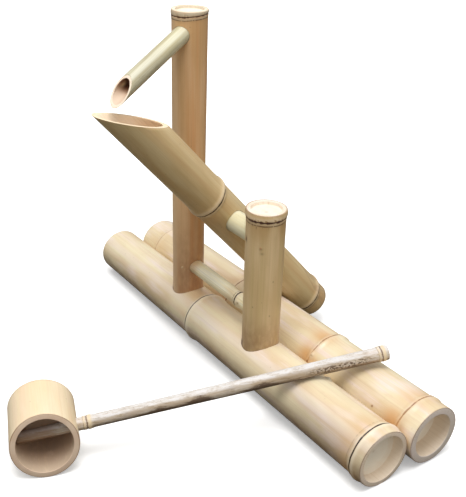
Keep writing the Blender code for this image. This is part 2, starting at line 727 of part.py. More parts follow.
def build():
    """Make every piece of the fountain."""
    for obj in list(bpy.data.objects):
        bpy.data.objects.remove(obj, do_unlink=True)
    parts = new_collection("bamboo_fountain")
    cutters = new_collection("bamboo_fountain_cutters")

    front = pole_object("front_pole", front_culm(), front_axis(), FRONT_POLE_WALL, parts, cutters)
    rear = pole_object("rear_pole", rear_culm(), rear_axis(), REAR_POLE_WALL, parts, cutters)
    tall = post_object("tall_post", tall_culm(), -TALL_POST_PLACE, TALL_POST_WALL, TALL_POST_RECESS, parts, cutters)
    short = post_object("short_post", short_culm(), SHORT_POST_PLACE, SHORT_POST_WALL, SHORT_POST_RECESS,
                        parts, cutters)
    top = front_axis().at(-TALL_POST_PLACE).z + front_culm().plain_radius(-TALL_POST_PLACE)
    cut(front, post_seat("tall_post_seat", -TALL_POST_PLACE, tall_radius(top), cutters))
    top = front_axis().at(SHORT_POST_PLACE).z + front_culm().plain_radius(SHORT_POST_PLACE)
    cut(front, post_seat("short_post_seat", SHORT_POST_PLACE, short_radius(top), cutters))

    tube = tube_object(parts, cutters)
    axle = tube_between("axle", *axle_ends(), AXLE_RADIUS, AXLE_WALL, BAR_SIDES, parts)
    crossbar = crossbar_object(parts, cutters)
    for label, ends, radius in (("axle", axle_ends(), AXLE_RADIUS), ("crossbar", crossbar_ends(), CROSSBAR_RADIUS)):
        low, high = ends
        stretch = Vector((SEAT_GAP, 0.0, 0.0))
        seat = hole(label + "_seat", low - stretch, high + stretch, radius + SEAT_GAP, BAR_SIDES, cutters)
        cut(tall, seat)
        cut(short, seat)

    spout = spout_object(parts, cutters)
    way = direction(-SPOUT_DROP, SPOUT_TURN)
    cut(tall, hole("spout_seat", spout_place(), spout_place() + way * (TALL_POST_TOP_RADIUS + OVERRUN),
                   SPOUT_RADIUS + SEAT_GAP, BAR_SIDES, cutters))
    cup = cup_object(parts, cutters)
    handle = handle_object(parts)

    tall_at_axle = tall_radius(AXLE_HEIGHT)
    short_at_axle = short_radius(AXLE_HEIGHT)
    tall_at_bar = tall_radius(CROSSBAR_HEIGHT)
    short_at_bar = short_radius(CROSSBAR_HEIGHT)
    pins = [
        bar_pin("axle_pin_tall", bar_pin_ends(-TALL_POST_PLACE, AXLE_PIN_TURN_TALL, tall_at_axle, AXLE_RADIUS,
                AXLE_WALL, AXLE_HEIGHT), (tall, axle), parts, cutters),
        bar_pin("axle_pin_short", bar_pin_ends(SHORT_POST_PLACE, AXLE_PIN_TURN_SHORT, short_at_axle, AXLE_RADIUS,
                AXLE_WALL, AXLE_HEIGHT), (short, axle), parts, cutters),
        bar_pin("crossbar_pin_tall", bar_pin_ends(-TALL_POST_PLACE, CROSSBAR_PIN_TURN_TALL, tall_at_bar,
                CROSSBAR_RADIUS, CROSSBAR_WALL, CROSSBAR_HEIGHT), (tall, crossbar), parts, cutters),
        bar_pin("crossbar_pin_short", bar_pin_ends(SHORT_POST_PLACE, CROSSBAR_PIN_TURN_SHORT, short_at_bar,
                CROSSBAR_RADIUS, CROSSBAR_WALL, CROSSBAR_HEIGHT), (short, crossbar), parts, cutters),
        foot_pin("foot_pin_tall", -TALL_POST_PLACE, tall_culm(), TALL_POST_WALL, front, tall, parts, cutters),
        foot_pin("foot_pin_short", SHORT_POST_PLACE, short_culm(), SHORT_POST_WALL, front, short, parts, cutters),
    ]
    nodes = rear_culm().nodes
    dowels = []
    for number, label in enumerate(("far", "middle", "near")):
        place = (nodes[number] + nodes[number + 1]) / 2
        dowels.append(pole_dowel("pole_dowel_" + label, place, front, rear, parts, cutters))

    colour(front, "front_pole_bamboo", FRONT_POLE_COLOUR, 0.42)
    colour(rear, "rear_pole_bamboo", REAR_POLE_COLOUR, 0.42)
    colour(tall, "tall_post_bamboo", TALL_POST_COLOUR, 0.45)
    colour(short, "short_post_bamboo", SHORT_POST_COLOUR, 0.45)
    colour(tube, "tube_bamboo", TUBE_COLOUR, 0.42)
    colour(axle, "axle_bamboo", BAR_COLOUR, 0.40)
    colour(crossbar, "crossbar_bamboo", BAR_COLOUR, 0.40)
    colour(spout, "spout_bamboo", SPOUT_COLOUR, 0.38)
    colour(cup, "cup_bamboo", CUP_COLOUR, 0.45)
    colour(handle, "handle_bamboo", HANDLE_COLOUR, 0.70)
    for pin in pins:
        colour(pin, pin.name + "_wood", PIN_COLOUR, 0.60)
    for dowel in dowels:
        colour(dowel, dowel.name + "_wood", DOWEL_COLOUR, 0.55)
    finish(parts, cutters)


build()
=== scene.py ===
import math
from dataclasses import dataclass, field
from functools import partialmethod

import bmesh
import bpy
import numpy as np
from mathutils import Euler, Matrix, Vector


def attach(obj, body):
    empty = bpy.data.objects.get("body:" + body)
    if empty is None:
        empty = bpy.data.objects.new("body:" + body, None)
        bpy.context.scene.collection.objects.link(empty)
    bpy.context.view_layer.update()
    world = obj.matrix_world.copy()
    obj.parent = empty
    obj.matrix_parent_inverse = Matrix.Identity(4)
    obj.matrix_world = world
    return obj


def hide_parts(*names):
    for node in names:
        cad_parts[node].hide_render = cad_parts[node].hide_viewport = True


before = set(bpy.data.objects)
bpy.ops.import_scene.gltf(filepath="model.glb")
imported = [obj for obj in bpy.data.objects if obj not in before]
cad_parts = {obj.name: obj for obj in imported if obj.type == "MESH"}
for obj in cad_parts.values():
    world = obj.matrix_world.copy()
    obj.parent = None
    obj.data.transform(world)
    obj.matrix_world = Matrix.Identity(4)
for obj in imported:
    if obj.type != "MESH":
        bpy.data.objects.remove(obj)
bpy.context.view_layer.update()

bl_info = {
    "name": "Bamboo Fountain",
    "version": (1, 0, 0),
    "blender": (4, 5, 0),
    "location": "3D View > Sidebar > Fountain",
    "description": "Builds a bamboo deer-scarer fountain around its solid model",
    "category": "Object",
}

# Making of culms and pins: zones of a skin, rings of the turned outline and relief at the nodes
GROWTH, DRIVEN = "culm growth", "driven pins"
SKIN, CUT, BORE, DIAPHRAGM = ZONES = range(4)
CULM_SIDES, BAR_SIDES, HANDLE_SIDES, HOLE_SIDES, PIN_SIDES = 128, 96, 64, 64, 20
MOST_NODES = 4
GROWTH_VALUES = ("Low", "High", "Low Radius", "High Radius", "Wall", "Swelling", "Groove", "Step", "Tilt", "Oval",
                 "Wobble", "Seed", "Bud Height")
NODE_VALUES = tuple("Node %d" % (number + 1) for number in range(MOST_NODES))
NODE_REACH, NODE_HOLD, STEP_HOLD = 0.024, 0.015, 0.004
UPPER_RIDGE, UPPER_WIDTH = 0.0024, 0.0040
LOWER_RIDGE, LOWER_WIDTH, LOWER_SHARE = 0.0030, 0.0026, 0.55
GROOVE_WIDTH = 0.0006
GLOW_SHIFT, GLOW_WIDTH = 0.010, 0.017
PALE_ABOVE, PALE_ABOVE_WIDTH, PALE_BELOW, PALE_BELOW_WIDTH = 0.0032, 0.0026, 0.0030, 0.0018
BUD_SIZE, SCAR_WIDTH, SCAR_LENGTH, SCAR_SHARE = 0.0034, 0.0014, 0.0024, 0.3
EDGE = 0.0006
TINY = 0.00001
PIN_ROUGHNESS = 0.0003
FAR_AWAY = 9.0
RING_WANDER = 0.0020
SHARP_ANGLE = math.radians(38.0)
PLAIN_SPACING, NODE_SPACING, BUD_SPACING, BORE_SPACING = 0.006, 0.0003, 0.0009, 0.012
NODE_HALF, NODE_CLEAR, BUD_HALF = 0.0027, 0.011, 0.0115
NODE_APRON, APRON_GAP, APRON_RINGS = 0.0105, 0.0006, 12
TORN_HALF = 0.004
TORN_LEDGE = ((0.0, 0.0), (0.0022, 0.0006), (0.0026, 0.0014), (0.0, 0.0024))
DISH_SHARES = (0.12, 0.3, 0.5, 0.7)
CORNER_TURNS = (0.0, 25.0, 50.0, 75.0, 90.0)

# Places and sizes shared by several pieces, in metres
TALL_PLACE, SHORT_PLACE = -0.0898, 0.0887
AXLE_HEIGHT, BAR_HEIGHT = 0.2166, 0.1058
AXLE_HOLE, BAR_HOLE, TUBE_HOLE, SPOUT_HOLE = 0.0151, 0.0105, 0.0153, 0.0119
FOOT_HEIGHT, FOOT_TOP = 0.034, 0.12
TALL_HOLE, SHORT_HOLE, HANDLE_HOLE = 0.0229, 0.0252, 0.0081
DOWEL_DEPTH, DOWEL_HOLE = 0.08, 0.0038
FRONT_HEIGHT, FRONT_SLOPE = 0.034403, 0.006041
REAR_SIDE, REAR_HEIGHT = 0.074063, 0.037587
REAR_SIDE_SLOPE, REAR_SLOPE = 0.010605, 0.004827
SPOUT_ROOT = (TALL_PLACE, 0.0, 0.44587)
SPOUT_WAY = (0.4458, -0.8564, -0.2605)
SPOUT_TURN, SPOUT_RISE = math.radians(27.5), math.radians(-15.1)
HANDLE_PLACE, CUP_PLACE = (0.0777, -0.3084), (0.1014, -0.3174)
CUP_SLANT = math.radians(79.0)
AXLE_PINS = ((0.10567, -0.01896, 0.07811, -0.0092, AXLE_HEIGHT), (-0.07637, -0.01891, -0.09825, -0.0092, AXLE_HEIGHT))
CROSSBAR_PINS = ((0.07427, 0.02063, 0.09307, 0.0047, BAR_HEIGHT), (-0.07669, -0.01871, -0.0945, -0.0047, BAR_HEIGHT))
FOOT_PINS = ((SHORT_PLACE, 0.03523, SHORT_PLACE, 0.01719, FOOT_HEIGHT),
             (TALL_PLACE, 0.03408, TALL_PLACE, 0.01531, 0.03156))
DOWELS = ((-0.14679, 0.10785, 0.02562, 0.0352), (0.05436, 0.11096, 0.02683, 0.03629),
          (0.23099, 0.11369, 0.0279, 0.03725))

# Stage
FLOOR_REACH, FLOOR_DROP = 8, 0.0002
WHITE = (1.0, 1.0, 1.0, 1.0)
FLOOR_GLOW = (0.45, 1.5)
FLOOR_BOUNCE = (0.10, 0.09, 0.07, 1.0)
LAMP_SIZE, LAMP_PLACE = 1.4, (0.35, -0.35, 2.3)
CAMERA_PLACE = (0.8736, -0.6167, 0.7199)
CAMERA_TURN, CAMERA_DOWN, CAMERA_ROLL = (math.radians(value) for value in (54.375, 27.498, 1.6995))
CAMERA_SHIFT = (0.0067, 0.0030)
SENSOR_WIDTH = 36.0


def tone(*values):
    """Linear colour of a tone given as red, green and blue from 0 to 255."""
    return tuple((value / 255.0) ** 2.2 for value in values)


def length(name, description, default):
    """A length property in metres."""
    return bpy.props.FloatProperty(name=name, description=description, default=default, unit="LENGTH", precision=5)


def turn(name, description, default):
    """An angle property."""
    return bpy.props.FloatProperty(name=name, description=description, default=math.radians(default), unit="ROTATION")


def share(name, description, default):
    """A property between 0 and 1."""
    return bpy.props.FloatProperty(name=name, description=description, default=default, min=0.0, max=1.0,
                                   subtype="FACTOR")


def colour(name, description, default):
    """A colour property."""
    return bpy.props.FloatVectorProperty(name=name, description=description, default=tone(*default),
                                         size=3, min=0.0, max=1.0, subtype="COLOR")


class Value:
    """A socket that takes part in Python arithmetic: each operator adds a Math node."""

    def __init__(self, graph, socket):
        self.graph = graph
        self.socket = socket

    def math(self, operation, *others, first=None):
        """Result of one Math node on this value."""
        values = (self,) + others if first is None else (first, self)
        return self.graph.out(self.graph.add("ShaderNodeMath", dict(enumerate(values)), operation=operation))

    def __rsub__(self, other):
        return self.math("SUBTRACT", first=other)

    def __rtruediv__(self, other):
        return self.math("DIVIDE", first=other)

    __add__ = partialmethod(math, "ADD")
    __sub__ = partialmethod(math, "SUBTRACT")
    __mul__ = partialmethod(math, "MULTIPLY")
    __truediv__ = partialmethod(math, "DIVIDE")
    __gt__ = partialmethod(math, "GREATER_THAN")
    __lt__ = partialmethod(math, "LESS_THAN")
    __abs__ = partialmethod(math, "ABSOLUTE")
    root = partialmethod(math, "SQRT")
    most = partialmethod(math, "MAXIMUM")

    def hump(self, width):
        """1 at zero, falling to nothing over about twice a width on both sides."""
        scaled = self * (1.0 / width)
        return (scaled * scaled * -1.0).math("EXPONENT")

    def between(self, low, high):
        """0 on one side of a band of values and 1 on the other, with a smooth step from one to the other."""
        node = self.graph.add("ShaderNodeMapRange", {"Value": self, "From Min": low, "From Max": high},
                              interpolation_type="SMOOTHSTEP")
        return self.graph.out(node)


class Graph:
    """Adds nodes to a shader or geometry tree."""

    def __init__(self, tree):
        self.tree = tree

    def add(self, kind, inputs=None, **settings):
        """A node of a type, with its settings, then the values or links of its sockets."""
        node = self.tree.nodes.new(kind)
        for key, value in settings.items():
            setattr(node, key, value)
        for key, value in (inputs or {}).items():
            if isinstance(value, Value):
                self.tree.links.new(value.socket, node.inputs[key])
            else:
                node.inputs[key].default_value = value
        return node

    def out(self, node, key=0):
        """One output of a node as a value."""
        return Value(self, node.outputs[key])

    def split(self, vector):
        """The three parts of a vector."""
        node = self.add("ShaderNodeSeparateXYZ", {0: vector})
        return [self.out(node, index) for index in range(3)]

    def join(self, x, y, z):
        """A vector from three values."""
        return self.out(self.add("ShaderNodeCombineXYZ", {0: x, 1: y, 2: z}))

    def noise(self, x, y, z, detail=2.0, roughness=0.5):
        """Smooth noise around 0.5 at a place."""
        return self.out(self.add("ShaderNodeTexNoise", {
            "Vector": self.join(x, y, z), "Scale": 1.0, "Detail": detail, "Roughness": roughness}))

    def cells(self, x, y, z):
        """Distance to the nearest of a field of random points, and a random value for that point."""
        node = self.add("ShaderNodeTexVoronoi", {"Vector": self.join(x, y, z), "Scale": 1.0})
        return self.out(node, "Distance"), self.split(self.out(node, "Color"))[0]

    def mix(self, factor, low, high):
        """Two colours mixed by a factor."""
        values = {0: factor}
        for key, value in ((6, low), (7, high)):
            values[key] = value if isinstance(value, Value) else (*value, 1.0)
        return self.out(self.add("ShaderNodeMix", values, data_type="RGBA"), 2)

    def lay(self, colour, *layers):
        """Further colours laid over a colour one after the other, each by its factor."""
        for factor, over in layers:
            colour = self.mix(factor, colour, over)
        return colour

    def shade(self, shader, colour, roughness, height, strength, distance):
        """Feed a shader's colour and roughness, and its normal through a bump."""
        bump = self.out(self.add("ShaderNodeBump", {"Height": height, "Strength": strength, "Distance": distance}))
        for key, value in (("Base Color", colour), ("Roughness", roughness), ("Normal", bump)):
            self.tree.links.new(value.socket, shader.inputs[key])

    def around(self, x, y):
        """Distance from the axis, and the cosine and sine of the angle around it."""
        reach = (x * x + y * y).root().most(TINY)
        return reach, x / reach, y / reach


def ring_wave(graph, cos, sin, number, seed):
    """How far a node's ring wanders along the culm around its girth."""
    return (graph.noise(cos * 1.6, sin * 1.6, seed + 2.7 * number, detail=1.5) - 0.5) * RING_WANDER


def facing(cos, sin, side):
    """How far the skin faces a side, given in degrees around the axis: 1 where it does, -1 opposite."""
    return cos * math.cos(math.radians(side)) + sin * math.sin(math.radians(side))


def nearness(cos, sin, z, place, size):
    """1 at a place on the skin, falling to nothing around it; a size is given for across and along."""
    across, along = size
    reach = math.hypot(place[0], place[1])
    dx = (cos * reach - place[0]) * (1.0 / across)
    dy = (sin * reach - place[1]) * (1.0 / across)
    dz = (z - place[2]) * (1.0 / along)
    return (dx * dx + dy * dy + dz * dz).root().hump(1.0)


def new_tree(name, piece, values, vectors=()):
    """A geometry node tree with its inputs and its output, and the values of its inputs."""
    tree = bpy.data.node_groups.new(name, "GeometryNodeTree")
    for kind, names in (("Geometry", (piece,)), ("Float", values), ("Vector", vectors), ("Material", ("Finish",))):
        for socket in names:
            tree.interface.new_socket(name=socket, in_out="INPUT", socket_type="NodeSocket" + kind)
    tree.interface.new_socket(name=piece, in_out="OUTPUT", socket_type="NodeSocketGeometry")
    graph = Graph(tree)
    group = tree.nodes.new("NodeGroupInput")
    return graph, {name: graph.out(group, name) for name in (piece, *values, *vectors, "Finish")}


def close_tree(graph, geometry, offset, finish):
    """Move the points, make the geometry real, give it its finish and send it out."""
    moved = graph.add("GeometryNodeSetPosition", {"Geometry": geometry, "Offset": offset})
    real = graph.add("GeometryNodeRealizeInstances", {0: graph.out(moved)})
    done = graph.add("GeometryNodeSetMaterial", {"Geometry": graph.out(real), "Material": finish})
    graph.add("NodeGroupOutput", {0: graph.out(done)})
    return graph.tree


def growth_tree():
    """Geometry node tree that grows a plain turned culm into a natural one."""
    graph, get = new_tree(GROWTH, "Culm", GROWTH_VALUES + NODE_VALUES, ("Bud",))
    x, y, z = graph.split(graph.out(graph.add("GeometryNodeInputPosition")))
    reach, cos, sin = graph.around(x, y)
    along = (z - get["Low"]) / (get["High"] - get["Low"])
    plain = get["Low Radius"] + (get["High Radius"] - get["Low Radius"]) * along
    skin = ((reach - plain + get["Wall"]) / get["Wall"]).between(0.35, 0.95)
    seed = get["Seed"]
    grown = (graph.noise(cos * 0.9, sin * 0.9, z * 7.0 + seed, detail=1.0) - 0.5) * get["Wobble"]
    grown = grown + (cos * cos - sin * sin) * get["Oval"]
    for number, name in enumerate(NODE_VALUES):
        place = z - get[name] - y * get["Tilt"]
        ring = place + ring_wave(graph, cos, sin, number, seed)
        near = abs(place).between(NODE_REACH, NODE_HOLD)
        swelling = (ring - UPPER_RIDGE).hump(UPPER_WIDTH) + (ring + LOWER_RIDGE).hump(LOWER_WIDTH) * LOWER_SHARE
        step = ring.between(-EDGE, EDGE) * place.between(NODE_REACH, STEP_HOLD) * get["Step"]
        grown = grown + (swelling * get["Swelling"] - ring.hump(GROOVE_WIDTH) * get["Groove"]) * near + step
    bud = graph.split(get["Bud"])
    beside = ((x - bud[0]) * (x - bud[0]) + (y - bud[1]) * (y - bud[1])).root()
    beyond = z - bud[2]
    grown = grown + beside.hump(BUD_SIZE) * beyond.hump(BUD_SIZE) * get["Bud Height"]
    grown = grown - beside.hump(SCAR_WIDTH) * beyond.hump(SCAR_LENGTH) * get["Bud Height"] * SCAR_SHARE
    grown = grown * skin
    return close_tree(graph, get["Culm"], graph.join(cos * grown, sin * grown, 0.0), get["Finish"])


def pins_tree():
    """Geometry node tree that makes a whittled pin along each chain of edges."""
    graph, get = new_tree(DRIVEN, "Pins", ("Radius", "Roughness", "Seed"))
    line = graph.out(graph.add("GeometryNodeMeshToCurve", {"Mesh": get["Pins"]}))
    slim = graph.out(graph.add("GeometryNodeInputNamedAttribute", {"Name": "slim"}, data_type="FLOAT"))
    ring = graph.out(graph.add("GeometryNodeCurvePrimitiveCircle", {
        "Resolution": PIN_SIDES, "Radius": get["Radius"]}))
    rods = graph.out(graph.add("GeometryNodeCurveToMesh", {
        "Curve": line, "Profile Curve": ring, "Scale": slim, "Fill Caps": True}))
    x, y, z = graph.split(graph.out(graph.add("GeometryNodeInputPosition")))
    shifts = [(graph.noise(x * 900.0, y * 900.0, z * 900.0 + get["Seed"] + axis * 7.0) - 0.5) * get["Roughness"]
              for axis in range(3)]
    return close_tree(graph, rods, graph.join(*shifts), get["Finish"])


def run_tree(obj, tree, values):
    """The mesh that a node tree makes of an object's mesh, its inputs set by the names of the tree's sockets."""
    modifier = obj.modifiers.new("Nodes", "NODES")
    modifier.node_group = tree
    for item in tree.interface.items_tree:
        if item.in_out == "INPUT" and item.name in values:
            modifier[item.identifier] = values[item.name]
    return baked(obj)


def baked(obj):
    """The evaluated mesh of an object, whose modifiers are then removed."""
    graph = bpy.context.evaluated_depsgraph_get()
    mesh = bpy.data.meshes.new_from_object(obj.evaluated_get(graph))
    obj.modifiers.clear()
    return mesh


def new_object(name, mesh):
    """An object of the scene with a mesh."""
    obj = bpy.data.objects.new(name, mesh)
    bpy.context.scene.collection.objects.link(obj)
    return obj


@dataclass
class Culm:
    """A length of bamboo in its own frame, where its axis is Z; bud, holes and marks have places of the model."""

    name: str
    place: tuple
    turned: Euler
    low: float
    high: float
    low_radius: float
    high_radius: float
    wall: float
    nodes: tuple = ()
    low_recess: float = 0.0
    high_recess: float = 0.0
    slant: float = math.pi / 2
    slant_from: float = 0.0
    swelling: float = 0.0016
    groove: float = 0.0007
    step: float = 0.0
    tilt: float = 0.0
    oval: float = 0.0003
    wobble: float = 0.0007
    seed: float = 0.0
    corner: float = 0.002
    dish: float = 0.001
    bud: tuple = (0.0, 0.0, FAR_AWAY)
    bud_height: float = 0.0
    torn: float = 0.0
    sides: int = CULM_SIDES
    on_ground: bool = False
    holes: list = field(default_factory=list)
    marks: list = field(default_factory=list)
    inner_marks: list = field(default_factory=list)

    def __post_init__(self):
        """Bring the bud into the culm's own frame."""
        if self.bud_height:
            self.bud = tuple(self.inward(self.bud))

    def radius(self, place):
        """Plain outer radius at a place along the axis."""
        along = (place - self.low) / (self.high - self.low)
        return self.low_radius + (self.high_radius - self.low_radius) * along

    def matrix(self):
        """From the culm's own frame to the model's."""
        return Matrix.Translation(self.place) @ self.turned.to_matrix().to_4x4()

    def inward(self, spot):
        """A place of the model in the culm's own frame."""
        return self.matrix().inverted() @ Vector(spot)

    def skin_places(self):
        """Places of the rings down the outer side, close together at the nodes."""
        low, high = self.low + EDGE, self.high - EDGE
        places = set(np.linspace(low, high, max(2, int((self.high - self.low) / PLAIN_SPACING))).tolist())
        close = NODE_HALF + abs(self.tilt) * self.high_radius
        near = np.concatenate([np.arange(-close, close, NODE_SPACING),
                               np.linspace(-close - NODE_APRON, -close - APRON_GAP, APRON_RINGS),
                               np.linspace(close + APRON_GAP, close + NODE_APRON, APRON_RINGS)])
        for node in self.nodes:
            places = {place for place in places if abs(place - node) > close + NODE_CLEAR}
            places.update((node + near).tolist())
        if self.bud_height:
            places.update((self.bud[2] + np.arange(-BUD_HALF, BUD_HALF, BUD_SPACING)).tolist())
        return sorted((place for place in places if low <= place <= high), reverse=True)

    def end(self, place, recess, way):
        """Points of a cut end, from the axis outwards, with their zones."""
        outer = self.radius(place)
        lip = [(outer - EDGE, place, CUT), (outer - EDGE * 0.3, place - way * EDGE * 0.3, SKIN)]
        if recess <= 0.0:
            return [(0.0, place, CUT), (outer * 0.5, place, CUT)] + lip
        floor = place - way * recess
        inner = self.radius(floor) - self.wall
        rim = outer - self.wall
        points = [(0.0, floor - way * self.dish, DIAPHRAGM)]
        for part in DISH_SHARES:
            points.append((inner * part, floor - way * self.dish * (1.0 - part * part), DIAPHRAGM))
        for angle in CORNER_TURNS:
            bend = math.radians(angle)
            points.append((inner - self.corner * (1.0 - math.sin(bend)),
                           floor + way * self.corner * (1.0 - math.cos(bend)), DIAPHRAGM if angle < 60.0 else BORE))
        steps = max(1, int(recess / BORE_SPACING))
        for number in range(1, steps):
            along = number / steps
            points.append((inner + (rim - inner) * along,
                           floor + way * (self.corner + (recess - self.corner) * along), BORE))
        if self.torn:
            points = [point for point in points if abs(point[1] - self.torn) > TORN_HALF]
            points += [(rim - depth, self.torn + shift, CUT if depth else BORE) for depth, shift in TORN_LEDGE]
            points.sort(key=lambda point: point[1])
        return points + [(rim, place - way * EDGE, BORE), (rim + EDGE * 0.6, place, CUT)] + lip

    def outline(self):
        """Points from the axis at the high end, down the outer side, to the axis at the low end."""
        skin = [(self.radius(place), place, SKIN) for place in self.skin_places()]
        return self.end(self.high, self.high_recess, 1) + skin + self.end(self.low, self.low_recess, -1)[::-1]


def zone_between(first, second):
    """Zone of the faces between two rings."""
    if first == second:
        return first
    return CUT if SKIN in (first, second) or CUT in (first, second) else BORE


def turned_mesh(name, points, sides):
    """A closed mesh turned from an outline that starts and ends on the axis, with a zone on each face."""
    mesh = bpy.data.meshes.new(name)
    shape = bmesh.new()
    angles = [2.0 * math.pi * number / sides for number in range(sides)]
    top = shape.verts.new((0.0, 0.0, points[0][1]))
    bottom = shape.verts.new((0.0, 0.0, points[-1][1]))
    rings = []
    for radius, place, _ in points[1:-1]:
        rings.append([shape.verts.new((radius * math.cos(angle), radius * math.sin(angle), place))
                      for angle in angles])
    zones = [zone for _, _, zone in points[1:-1]]
    for number in range(sides):
        after = (number + 1) % sides
        shape.faces.new((top, rings[0][number], rings[0][after])).material_index = zones[0]
        shape.faces.new((rings[-1][number], bottom, rings[-1][after])).material_index = zones[-1]
        for upper, lower, first, second in zip(rings, rings[1:], zones, zones[1:]):
            face = shape.faces.new((upper[number], lower[number], lower[after], upper[after]))
            face.material_index = zone_between(first, second)
    shape.to_mesh(mesh)
    shape.free()
    return mesh


def hole_cutter(start, end, radius):
    """A round cutter between two points; its faces count as cut bamboo."""
    way = Vector(end) - Vector(start)
    points = [(0.0, way.length, CUT), (radius, way.length, CUT), (radius, 0.0, CUT), (0.0, 0.0, CUT)]
    mesh = turned_mesh("cutter", points, HOLE_SIDES)
    mesh.transform(Matrix.Translation(start) @ way.to_track_quat("Z", "Y").to_matrix().to_4x4())
    return new_object("cutter", mesh)


def set_zones(mesh):
    """Keep the zone of each face as an attribute and leave one material slot."""
    zones = [float(face.material_index) for face in mesh.polygons]
    mesh.attributes.new("zone", "FLOAT", "FACE").data.foreach_set("value", zones)
    for face in mesh.polygons:
        face.material_index = 0


def shear_end(culm, mesh):
    """Slide the high end of a culm onto its slanted cut, which leaves the underside the longer."""
    if culm.slant >= math.pi / 2:
        return
    slope = 1.0 / math.tan(culm.slant)
    for vert in mesh.vertices:
        if vert.co.z > culm.slant_from:
            along = (vert.co.z - culm.slant_from) / (culm.high - culm.slant_from)
            vert.co.z -= vert.co.y * slope * along


def finish_mesh(obj, material):
    """One material, smooth faces and sharp edges."""
    obj.data.materials.clear()
    obj.data.materials.append(material)
    obj.data.name = obj.name
    obj.data.shade_smooth()
    obj.data.set_sharp_from_angle(angle=SHARP_ANGLE)


def make_culm(culm, material):
    """A finished culm: turned, grown by the node tree, slanted, placed and holed."""
    mesh = turned_mesh(culm.name, culm.outline(), culm.sides)
    zones = [face.material_index for face in mesh.polygons]
    obj = new_object(culm.name + "_skin", mesh)
    values = {name: getattr(culm, name.lower().replace(" ", "_")) for name in GROWTH_VALUES + ("Bud",)}
    values.update(zip(NODE_VALUES, culm.nodes + (FAR_AWAY,) * MOST_NODES), Finish=material)
    grown = run_tree(obj, bpy.data.node_groups.get(GROWTH) or growth_tree(), values)
    shear_end(culm, grown)
    grown.transform(culm.matrix())
    if culm.on_ground:
        for vert in grown.vertices:
            vert.co.z = max(vert.co.z, 0.0)
    grown.materials.clear()
    for _ in ZONES:
        grown.materials.append(material)
    for face, zone in zip(grown.polygons, zones):
        face.material_index = zone
    obj.data = grown
    for start, end, radius in culm.holes:
        cutter = hole_cutter(start, end, radius)
        for _ in ZONES:
            cutter.data.materials.append(material)
        cut = obj.modifiers.new("Hole", "BOOLEAN")
        cut.operation = "DIFFERENCE"
        cut.solver = "EXACT"
        cut.object = cutter
        obj.data = baked(obj)
        bpy.data.objects.remove(cutter, do_unlink=True)
    set_zones(obj.data)
    finish_mesh(obj, material)
    return obj


def make_pins(name, rows, radius, material, seed):
    """Whittled level pins; a row gives X and Y of a pin's head, X and Y of its tip, and its height."""
    points, edges, slims = [], [], []
    for head_x, head_y, tip_x, tip_y, height in rows:
        start, end = Vector((head_x, head_y, height)), Vector((tip_x, tip_y, height))
        full = (end - start).length
        chain = [(0.0, 0.80), (0.0003, 0.93), (0.0008, 1.0), (full * 0.3, 1.0), (full * 0.6, 0.98),
                 (full - 0.0006, 0.96), (full, 0.85)]
        for place, slim in chain:
            if place:
                edges.append((len(points) - 1, len(points)))
            points.append(start + (end - start) * (place / full))
            slims.append(slim)
    mesh = bpy.data.meshes.new(name)
    mesh.from_pydata(points, edges, [])
    mesh.attributes.new("slim", "FLOAT", "POINT").data.foreach_set("value", slims)
    obj = new_object(name, mesh)
    made = run_tree(obj, bpy.data.node_groups.get(DRIVEN) or pins_tree(),
                    {"Radius": radius, "Roughness": PIN_ROUGHNESS, "Seed": seed, "Finish": material})
    shape = bmesh.new()
    shape.from_mesh(made)
    bmesh.ops.recalc_face_normals(shape, faces=shape.faces)
    shape.to_mesh(made)
    shape.free()
    obj.data = made
    finish_mesh(obj, material)
    return obj


def hand_over(obj, body, slot, *nodes):
    """Let a finished piece ride on a body and stand for its nodes, which are hidden; the slot is not used."""
    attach(obj, body)
    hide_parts(*nodes)


def dress(culm, body, slot, look, finish=None):
    """Make a culm in its bamboo and let it stand for the node of its name."""
    material = bamboo(finish or slot.replace("_", " "), culm, look)
    hand_over(make_culm(culm, material), body, slot, culm.name)


